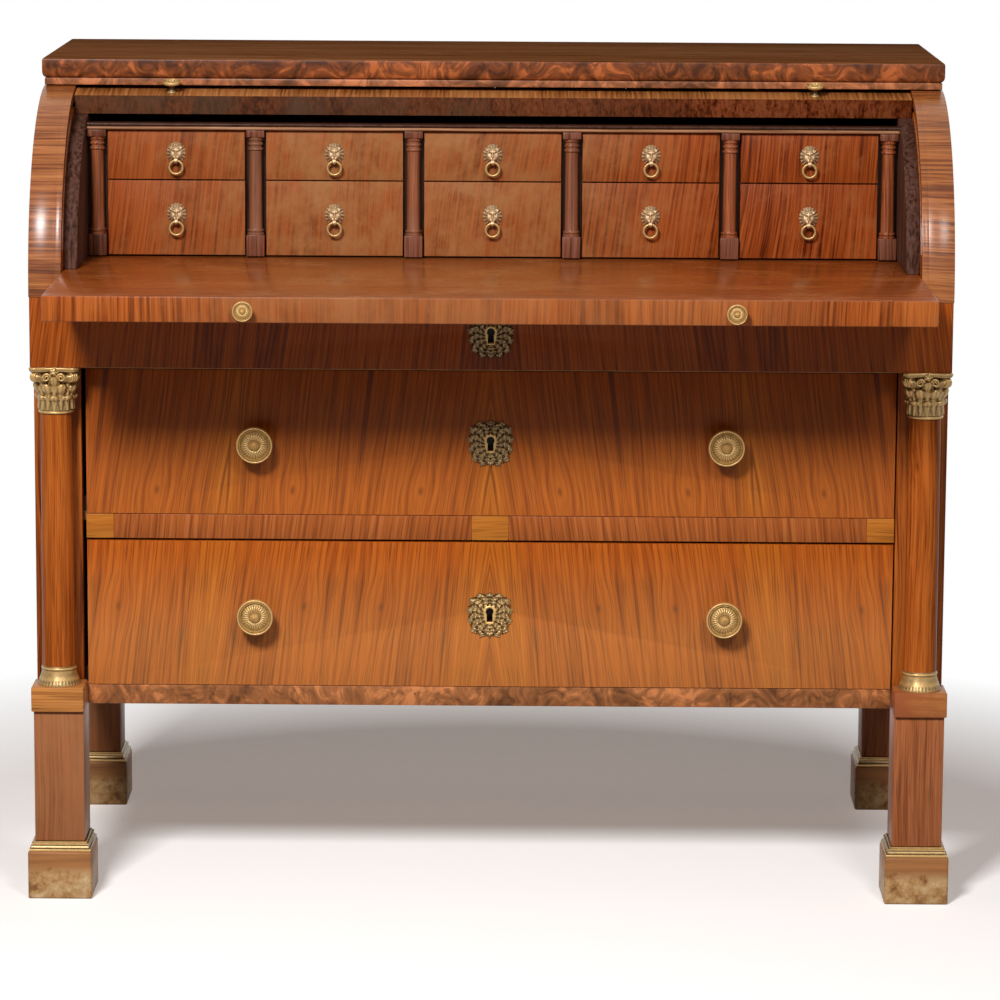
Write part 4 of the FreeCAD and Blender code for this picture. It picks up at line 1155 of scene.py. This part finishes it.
class DESK_OT_long_drawers(DeskOperator, bpy.types.Operator):
    """Frieze drawer and long drawers: book-matched fronts with keyholes, and their boxes"""
    bl_idname = "desk.long_drawers"
    bl_label = "Long drawers"

    def execute(self, context):
        thick, side = sizes().front_board, sizes().box_board
        half, lowered, keyhole_reach = INNER_HALF - 27.4 * MM, 13.2 * MM, 20 * MM
        bottom, box_edge, front_edge = (5 * MM, 13 * MM), 0.6 * MM, 0.8 * MM
        gaps = {"frieze": 0.1 * MM, "upper": 0.4 * MM, "lower": 0.4 * MM}
        for name in LONG_DRAWERS:
            node = name + "_drawer"
            first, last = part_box(node)
            middle = (low(name + "_lock").z + high(name + "_lock").z) / 2
            foot, behind, top = first.z + gaps[name], first.y + thick, last.z - lowered
            outline = [(first.x, foot), (last.x, foot), (last.x, last.z), (first.x, last.z)]
            front = plate(node, [outline, keyhole(middle)], first.y, behind, "Y", front_edge)
            eye = Vector((0, first.y + thick / 2, middle))
            # Keyhole walls in the near-black finish: painted shade inside the hole
            refinish(front.polygons, lambda face: abs(face.normal.y) < 0.9
                     and (face.center - eye).length < keyhole_reach, 2)
            build = joined(front)
            drawer_box(build, (-half, behind, first.z), (half, last.y, top), side, bottom,
                       box_edge, top)
            wood = "frieze_veneer" if name == "frieze" else "drawer_veneer"
            make_piece(node, build, (wood, "softwood", "nest_frame"), node)
        return {"FINISHED"}


class DESK_OT_small_drawers(DeskOperator, bpy.types.Operator):
    """Small drawers of the nest"""
    bl_idname = "desk.small_drawers"
    bl_label = "Small drawers"

    def execute(self, context):
        thick, side, lowered, play = 12 * MM, 6 * MM, 9.2 * MM, 0.2 * MM
        bottom, box_edge, front_edge = (2 * MM, 6 * MM), 0.4 * MM, 1.0 * MM
        ceiling, shelf, rise = high("nest_case").z - 6 * MM, low("nest_case").z + 6.3 * MM, 0.5 * MM
        for tail in NEST_PLACES:
            node = "small_drawer" + tail
            first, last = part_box(node)
            build = bmesh.new()
            board(build, first, (last.x, first.y + thick, last.z), front_edge)
            base, top = shelf if "lower" in tail else first.z + rise, last.z - lowered
            drawer_box(build, (first.x + play, first.y + thick, base), (last.x - play, last.y, top), side,
                       bottom, box_edge, min(top, ceiling))
            make_piece(node, build, ("nest_veneer", "softwood"), node)
        return {"FINISHED"}


# Lion mask: place, width, height and lift of its swellings and hollows; those beside the middle are pairs
LION_FACE = ((0.26, 0.30, 0.17, 0.09, 1.7), (0.28, 0.14, 0.12, 0.07, -1.5), (0.27, 0.14, 0.05, 0.04, 1.0),
             (0.0, 0.12, 0.11, 0.32, 1.8), (0.0, -0.18, 0.15, 0.10, 2.3), (0.10, -0.20, 0.05, 0.05, -0.7),
             (0.19, -0.38, 0.17, 0.14, 2.6), (0.0, -0.42, 0.04, 0.13, -1.2), (0.0, -0.60, 0.30, 0.06, -2.2),
             (0.0, -0.80, 0.20, 0.11, 1.8), (0.50, -0.14, 0.14, 0.20, 1.1), (0.52, 0.56, 0.12, 0.12, 1.8),
             (0.0, 0.50, 0.30, 0.14, 0.9))
MASK_GROUND, MASK_DOME = 2.4, 4.6
MASK_ROWS, MASK_COLUMNS, MASK_HALF_WIDE, MASK_HALF_TALL = 40, 104, 12.6, 14.6
MASK_RISE = 9.5 * MM
JAW_OUT = 8.6 * MM
JAW_BORE = ((2.0, -2.5), (3.1, -2.5), (3.3, -1.8), (3.3, 1.8), (3.1, 2.5), (2.0, 2.5), (2.0, -2.5))
JAW_SHINE = (0.1, 0.6, 0.9, 0.9, 0.6, 0.1, 0.1)
JAW_BARS, JAW_RADII = ((2.2, 2.6), (5.2, 2.9), (7.6, 2.6)), (2.4 * MM, 2.3 * MM, 1.7 * MM)
RING_RADIUS, RING_WIRE, RING_STEPS, WIRE_STEPS = 8.75, 1.7, 56, 14


def lion_height(across, up):
    """Relief of the lion's face in millimetres; across and up run from -1 to 1 over the mask."""
    relief = MASK_GROUND + MASK_DOME * math.exp(-((across / 0.60) ** 2 + ((up + 0.02) / 0.66) ** 2) ** 2)
    for x, y, wide, tall, lift in LION_FACE:
        for side in (x, -x) if x else (x,):
            relief += lift * math.exp(-((across - side) / wide) ** 2 - ((up - y) / tall) ** 2)
    return relief


def mask_point(row, column):
    """Place across, up and out from the drawer's face on the mask, in millimetres."""
    tufts = sizes().mane_tufts
    share = min(1.0, row / (MASK_ROWS - 2))
    turn = FULL * column / MASK_COLUMNS + QUARTER
    tuft = abs(math.cos(tufts * turn / 2 + 0.7 * share))
    spot = polar(share * (0.91 + 0.09 * tuft), turn)
    lift = 0.0
    if row < MASK_ROWS - 1:
        locks = 1.7 * tuft - 0.9 + 0.7 * math.cos(tufts * 2 * math.atan2(spot.y, spot.x) + 3 * share)
        lift = lion_height(spot.x, spot.y) + bounded((share - 0.52) / 0.22) * locks
        lift = max(0.9, lift * (1 - 0.55 * max(0.0, share - 0.80) / 0.20))
    return MASK_HALF_WIDE * spot.x, MASK_HALF_TALL * spot.y, lift


class DESK_OT_lion_pulls(DeskOperator, bpy.types.Operator):
    """Lion masks with their mane, bored jaw and hanging ring"""
    bl_idname = "desk.lion_pulls"
    bl_label = "Lion pulls"

    def mask(self):
        build, layer = relief_build()
        points = [[mask_point(row, column) for column in range(MASK_COLUMNS)] for row in range(MASK_ROWS)]

        def place(row, column):
            across, up, lift = points[row][column]
            return Vector((across, -lift, up)) * MM

        def shine(row, column):
            around = [points[int(bounded(row + step, 0, MASK_ROWS - 2))][column][2] for step in (-3, 3)]
            around += [points[row][(column + step) % MASK_COLUMNS][2] for step in (-3, 3)]
            here = points[row][column][2]
            return bounded(0.62 + 0.62 * (here - sum(around) / 4) + 0.025 * here)

        surface(build, MASK_ROWS, MASK_COLUMNS, place, layer, shine)
        bore = in_mm(0, -JAW_OUT, -MASK_RISE) @ Matrix.Rotation(QUARTER, 4, "Y")
        lathe(build, JAW_BORE, bore, 24, layer, JAW_SHINE)
        for sign in SIDES:
            path = [Vector((0, -out * MM, sign * up * MM - MASK_RISE)) for out, up in JAW_BARS]
            tube(build, path, JAW_RADII, 10, layer, 0.5)
        return build

    def ring(self):
        build, layer = relief_build()

        def place(row, column):
            turn, wire = FULL * row / RING_STEPS, polar(RING_WIRE, FULL * column / WIRE_STEPS)
            across = polar(RING_RADIUS + wire.x, turn)
            return Vector((across.y, wire.y, across.x - RING_RADIUS)) * MM

        surface(build, RING_STEPS + 1, WIRE_STEPS, place, layer, lambda row, column: 0.72)
        return build

    def execute(self, context):
        tail = NEST_PLACES[0]
        mask = dressed("lion_mask%s_dressed" % tail, self.mask(), ("mask_brass",), 75)
        ring = dressed("ring%s_dressed" % tail, self.ring(), ("brass",), 80)
        for tail in NEST_PLACES:
            pivot = Vector(JOINTS["ring" + tail + "_swing"]["pos_m"])
            seat = Vector((pivot.x, high("lion_mask" + tail).y, pivot.z + MASK_RISE))
            for node, mesh, place, body in (("lion_mask" + tail, mask, seat, "small_drawer" + tail),
                                            ("ring" + tail, ring, pivot, "ring" + tail)):
                piece = add_object(node + "_dressed", mesh)
                piece.location = place
                settle(piece, node, body)
        return {"FINISHED"}


# Rosette knob: shares of its radius and height, back and front, and how bright each ring is rubbed
KNOB_BACK = ((0.0, 0.0), (0.46, 0.0), (0.48, 0.05), (0.44, 0.11), (0.32, 0.17), (0.28, 0.26), (0.27, 0.40),
             (0.32, 0.50), (0.50, 0.57), (0.80, 0.61), (0.95, 0.66), (1.0, 0.73), (0.995, 0.80))
KNOB_FRONT = ((0.985, 0.845), (0.955, 0.875), (0.92, 0.88), (0.89, 0.865), (0.87, 0.83), (0.855, 0.825),
              (0.84, 0.845), (0.81, 0.862), (0.78, 0.845), (0.765, 0.80), (0.74, 0.785), (0.70, 0.80),
              (0.62, 0.84), (0.52, 0.875), (0.42, 0.885), (0.34, 0.87), (0.30, 0.86), (0.285, 0.90),
              (0.25, 0.935), (0.17, 0.965), (0.08, 0.985), (0.0, 0.99))
KNOB_SHINE = (0.2, 0.4, 0.7, 0.5, 0.2, 0.15, 0.15, 0.15, 0.3, 0.5, 0.8, 0.95, 0.95, 0.95, 1.0, 0.95, 0.8,
              0.62, 0.6, 0.75, 0.85, 0.75, 0.6, 0.6, 0.7, 0.78, 0.82, 0.8, 0.72, 0.6, 0.7, 0.8, 0.85, 0.9,
              0.9)
PETAL_INNER, PETAL_OUTER, BOSS_SHARE = 0.31, 0.76, 0.29


def rosette(build, layer, carry, radius, tall):
    """Rosette knob in millimetres: foot, stem and a double-rimmed disc with a petalled centre."""
    petals, profile = sizes().petals, KNOB_BACK + KNOB_FRONT
    steps = petals * 8

    def petalled(row):
        return row > len(KNOB_BACK) and PETAL_INNER < profile[row][0] < PETAL_OUTER

    def place(row, column):
        (share, rise), turn = profile[row], FULL * column / steps
        if petalled(row):
            ease = math.sin(math.pi * (share - PETAL_INNER) / (PETAL_OUTER - PETAL_INNER))
            rise += 0.030 * ease * (abs(math.cos(petals * turn / 2)) ** 0.7 - 0.62)
        elif row > len(KNOB_BACK) and share < BOSS_SHARE:
            rise += 0.012 * math.cos(petals * turn) * (share / BOSS_SHARE)
        return carry @ (polar(share * radius, turn, rise * tall) * MM)

    def shine(row, column):
        ridge = abs(math.cos(petals * math.pi * column / steps)) ** 0.8
        return KNOB_SHINE[row] * (0.64 + 0.42 * ridge if petalled(row) else 1)

    surface(build, len(profile), steps, place, layer, shine)


class DESK_OT_knobs(DeskOperator, bpy.types.Operator):
    """Rosette knobs of the long drawers, the writing slide and the cylinder"""
    bl_idname = "desk.knobs"
    bl_label = "Rosette knobs"

    def pair(self, node, body, metal, seat, turn, radius, tall):
        build, layer = relief_build()
        for sign in SIDES:
            rosette(build, layer, Matrix.Translation((sign * seat.x, seat.y, seat.z)) @ turn, radius, tall)
        make_piece(node, build, (metal,), body, smooth=60)

    def execute(self, context):
        forward = Matrix.Rotation(QUARTER, 4, "X")
        for node, body, radius, tall in (("upper_knobs", "upper_drawer", 23.75, 35.0),
                                         ("lower_knobs", "lower_drawer", 23.75, 35.0),
                                         ("slide_knobs", "writing_slide", 12.5, 20.0)):
            first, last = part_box(node)
            seat = Vector((last.x - radius * MM, last.y, (first.z + last.z) / 2))
            self.pair(node, body, "knob_brass", seat, forward, radius, tall)
        radius, tall, from_edge = 12.0, 18.0, 14 * MM
        angle = FALL_EDGE + from_edge / FALL_RADIUS
        out = Vector((0, -math.cos(angle), math.sin(angle)))
        seat = Vector((high("cylinder_knobs").x - radius * MM, AXIS.y, AXIS.z)) + out * FALL_RADIUS
        away = out.to_track_quat("Z", "X").to_matrix().to_4x4()
        self.pair("cylinder_knobs", "cylinder", "brass", seat, away, radius, tall)
        return {"FINISHED"}


# Escutcheon: its lengths in millimetres, and the shares that shape it
SHIELD_HALF, SHIELD_SQUARE, SHIELD_TAPER, SHIELD_COLLAR = 28.4, 3.2, 0.13, 0.16
SHIELD_ROWS, SHIELD_COLUMNS, SHIELD_LEAVES = 42, 320, 7
HOLE_EYE, HOLE_SLOT, HOLE_TALL = 5.0, 3.7, 9.3


def shield_rim(turn):
    """Point on the shield's scalloped edge."""
    lobes = 1 + 0.040 * math.cos(14 * (turn - QUARTER)) + 0.022 * math.cos(42 * (turn - QUARTER))
    across, up = math.cos(turn), math.sin(turn)
    square = (abs(across) ** SHIELD_SQUARE + abs(up) ** SHIELD_SQUARE) ** (-1 / SHIELD_SQUARE)
    radius = SHIELD_HALF * square * lobes
    return Vector((radius * across * (1 - SHIELD_TAPER * max(0.0, -up)), radius * up))


def shield_hole(turn):
    """Reach of the keyhole's edge from its middle."""
    across, up = math.cos(turn), math.sin(turn)
    rise = HOLE_TALL - HOLE_EYE
    bow = rise * up + math.sqrt(HOLE_EYE * HOLE_EYE - (rise * across) ** 2)
    wall = HOLE_SLOT / max(abs(across), 1e-6)
    if up < 0:
        wall = min(wall, -HOLE_TALL / up)
    return max(bow, wall) if wall * up < 1.3 else bow


def shield_relief(turn, share):
    """Height of the shield's leaves between the keyhole and the edge; gaps are below zero."""
    if share < SHIELD_COLLAR:
        return 1.9 + 0.8 * math.sin(math.pi * share / SHIELD_COLLAR)
    fall = math.acos(bounded(math.sin(turn), -1.0))
    spread = (share - SHIELD_COLLAR) / (1 - SHIELD_COLLAR)
    place = fall / math.pi * SHIELD_LEAVES + 0.55 * math.sin(math.pi * spread) - 0.25 * spread
    across = 2 * (place - math.floor(place + 0.5))
    half = 0.84 + 0.22 * math.sin(math.pi * spread) + 0.15 * math.cos(spread * 24)
    swell = 1 - (across / half) ** 2
    if swell <= 0:
        return -1.0
    vein = 0.8 * math.exp(-(across / 0.12) ** 2)
    return 0.4 + 2.0 * swell ** 0.6 - vein + 0.5 * math.cos(spread * 24) + 0.4 * math.cos(across * 11)


class DESK_OT_locks(DeskOperator, bpy.types.Operator):
    """Pierced escutcheons of radiating leaves with a scalloped edge, and the lock cases behind them"""
    bl_idname = "desk.locks"
    bl_label = "Escutcheons and locks"

    def shield(self, build, layer, face, z):
        """Lacy shield from the keyhole to its scalloped edge, open between the leaves."""
        spots = []
        for row in range(SHIELD_ROWS):
            share = bounded((row - 1) / (SHIELD_ROWS - 3))
            spots.append([])
            for column in range(SHIELD_COLUMNS):
                turn = FULL * (column + 0.5) / SHIELD_COLUMNS
                flat = polar(shield_hole(turn), turn).xy.lerp(shield_rim(turn), share)
                rise = shield_relief(turn, share)
                lift = 0.0 if row in (0, SHIELD_ROWS - 1) else max(0.1, rise)
                vert = build.verts.new((flat.x * MM, face - lift * MM, z + flat.y * MM))
                vert[layer] = bounded(0.26 * lift - 0.18, 0.02) if share > SHIELD_COLLAR else 0.72
                spots[-1].append((vert, rise > 0))
        for under, over in zip(spots, spots[1:]):
            for column in range(SHIELD_COLUMNS):
                after = (column + 1) % SHIELD_COLUMNS
                corners = (under[column], under[after], over[after], over[column])
                if any(solid for vert, solid in corners):
                    build.faces.new([vert for vert, solid in corners])
        bmesh.ops.delete(build, geom=[vert for vert in build.verts if not vert.link_faces], context="VERTS")

    def execute(self, context):
        deep, half_tall, edge = 11 * MM, 22 * MM, 0.8 * MM
        for name in LONG_DRAWERS:
            node, body = name + "_lock", name + "_drawer"
            first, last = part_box(node)
            z = (first.z + last.z) / 2
            build, layer = relief_build()
            self.shield(build, layer, low(body).y, z)
            near, far = (first.x, last.y - deep, z - half_tall), (last.x, last.y, z + half_tall)
            board(build, near, far, edge, 1, 1)
            # The lower escutcheon gets the lighter brass: painted light
            metal = "rubbed_brass" if name == "lower" else "brass"
            make_piece(node, build, (metal, "iron"), body, smooth=50)
        return {"FINISHED"}


# Stage: camera and lamps fitted to the photograph's view
IMAGE_WIDE, FOCAL_PIXELS, SENSOR = 1000, 4383.517, 36.0
CAMERA_ANGLES, CAMERA_PLACE = (9.8089, -0.2333, 0.3351), Vector((0.0353711, FRONT - 5.546085, 1.4892242))
LAMPS = (("key", (-1.18, -3.72, 3.28), 204), ("second_key", (1.25, -3.72, 3.20), 54))
LAMP_SIZE, LAMP_AIM = 0.85, Vector((0, -0.1, 0.6))
WHITE = (1, 1, 1)
FLOOR_LIFT, FLOOR_LIFT_TONE, FLOOR_BOUNCE, FLOOR_FADE = 0.27, (1, 0.89, 0.835, 1), 0.30, (0.85, 1.45)
WORLD_FILL, WORLD_FILL_TONE = 0.025, (1, 0.55, 0.36)


def shown(nodes):
    """One for rays that show the background: straight, mirrored or through glass."""
    path = nodes.add("LightPath")
    mirrored_or_clear = nodes.calc("MAXIMUM", path["Is Glossy Ray"], path["Is Transmission Ray"])
    return nodes.calc("MAXIMUM", path["Is Camera Ray"], mirrored_or_clear)


class DESK_OT_stage(DeskOperator, bpy.types.Operator):
    """Pale floor, soft studio lights and the camera"""
    bl_idname = "desk.stage"
    bl_label = "Stage"

    def floor(self):
        material = bpy.data.materials.new("studio_floor")
        material.use_nodes = True
        nodes = Nodes(material.node_tree)
        seen, tone = shown(nodes), tuple(tones().floor)
        matte = nodes.add("BsdfDiffuse", {"Color": nodes.blend(seen, shade(tone, FLOOR_BOUNCE), tone)})
        strength = nodes.calc("MULTIPLY", seen, FLOOR_LIFT)
        lift = nodes.add("Emission", {"Color": FLOOR_LIFT_TONE, "Strength": strength})
        near = nodes.add("AddShader", {0: matte[0], 1: lift[0]})
        glow = nodes.add("Emission", {"Color": (*WHITE, 1), "Strength": 1.0})
        away = nodes.add("VectorMath", {0: nodes.place()}, operation="LENGTH")["Value"]
        share = nodes.calc("MULTIPLY", seen, nodes.fade(away, *FLOOR_FADE, 0.0, 1.0))
        nodes.add("OutputMaterial", {0: nodes.add("MixShader", {0: share, 1: near[0], 2: glow[0]})[0]})
        build = bmesh.new()
        bmesh.ops.create_grid(build, x_segments=8, y_segments=8, size=45.0)
        mesh = new_mesh("studio_floor", build)
        mesh.materials.append(material)
        floor = add_object("studio_floor", mesh)

    def world(self, scene):
        scene.world = bpy.data.worlds.new("studio")
        scene.world.use_nodes = True
        nodes = Nodes(scene.world.node_tree)
        seen = shown(nodes)
        strength = nodes.calc("MULTIPLY_ADD", seen, 1 - WORLD_FILL, WORLD_FILL)
        tone = nodes.blend(seen, WORLD_FILL_TONE, WHITE)
        nodes.add("OutputWorld", {0: nodes.add("Background", {"Color": tone, "Strength": strength})[0]})

    def lamp(self, name, place, power):
        data = bpy.data.lights.new(name, "AREA")
        data.shape = "SQUARE"
        data.size = LAMP_SIZE
        data.energy = power
        light = add_object(name, data)
        light.location = place
        light.rotation_euler = (LAMP_AIM - Vector(place)).to_track_quat("-Z", "Y").to_euler()

    def camera(self, scene):
        data = bpy.data.cameras.new("photo_camera")
        data.sensor_width = SENSOR
        data.lens = SENSOR * FOCAL_PIXELS / IMAGE_WIDE
        data.clip_end = 200.0
        camera = add_object("photo_camera", data)
        pitch, yaw, roll = (math.radians(value) for value in CAMERA_ANGLES)
        ahead = Vector((math.sin(yaw) * math.cos(pitch), math.cos(yaw) * math.cos(pitch), -math.sin(pitch)))
        right = ahead.cross(Vector((0, 0, 1))).normalized()
        up = right.cross(ahead)
        right, up = right * math.cos(roll) + up * math.sin(roll), up * math.cos(roll) - right * math.sin(roll)
        camera.matrix_world = Matrix((right, up, -ahead)).transposed().to_4x4()
        camera.location = CAMERA_PLACE
        scene.camera = camera

    def execute(self, context):
        scene = context.scene
        scene.view_settings.view_transform = "Standard"
        self.floor()
        self.world(scene)
        for lamp in LAMPS:
            self.lamp(*lamp)
        self.camera(scene)
        return {"FINISHED"}


class DESK_PT_panel(bpy.types.Panel):
    """Desk pieces in the 3D view's sidebar"""
    bl_idname = "DESK_PT_panel"
    bl_label = "Cylinder desk"
    bl_space_type = "VIEW_3D"
    bl_region_type = "UI"
    bl_category = "Desk"

    def draw(self, context):
        layout = self.layout
        for group in (context.scene.desk_sizes, context.scene.desk_tones):
            box = layout.box()
            for name in group.__annotations__:
                box.prop(group, name)
        for operator in OPERATORS:
            layout.operator(operator.bl_idname)


OPERATORS = (DESK_OT_sides, DESK_OT_top, DESK_OT_back, DESK_OT_front_frame, DESK_OT_legs, DESK_OT_feet,
             DESK_OT_columns, DESK_OT_column_mounts, DESK_OT_cheeks, DESK_OT_nest, DESK_OT_inner_boards,
             DESK_OT_slide, DESK_OT_cylinder, DESK_OT_long_drawers, DESK_OT_small_drawers,
             DESK_OT_lion_pulls, DESK_OT_knobs, DESK_OT_locks, DESK_OT_stage)
CLASSES = (DeskSizes, DeskTones) + OPERATORS + (DESK_PT_panel,)


def register():
    for item in CLASSES:
        bpy.utils.register_class(item)
    bpy.types.Scene.desk_sizes = PointerProperty(type=DeskSizes)
    bpy.types.Scene.desk_tones = PointerProperty(type=DeskTones)


def unregister():
    del bpy.types.Scene.desk_tones
    del bpy.types.Scene.desk_sizes
    for item in reversed(CLASSES):
        bpy.utils.unregister_class(item)


def main():
    """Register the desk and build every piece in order."""
    register()
    for operator in OPERATORS:
        group, name = operator.bl_idname.split(".")
        getattr(getattr(bpy.ops, group), name)()


if __name__ == "__main__":
    main()
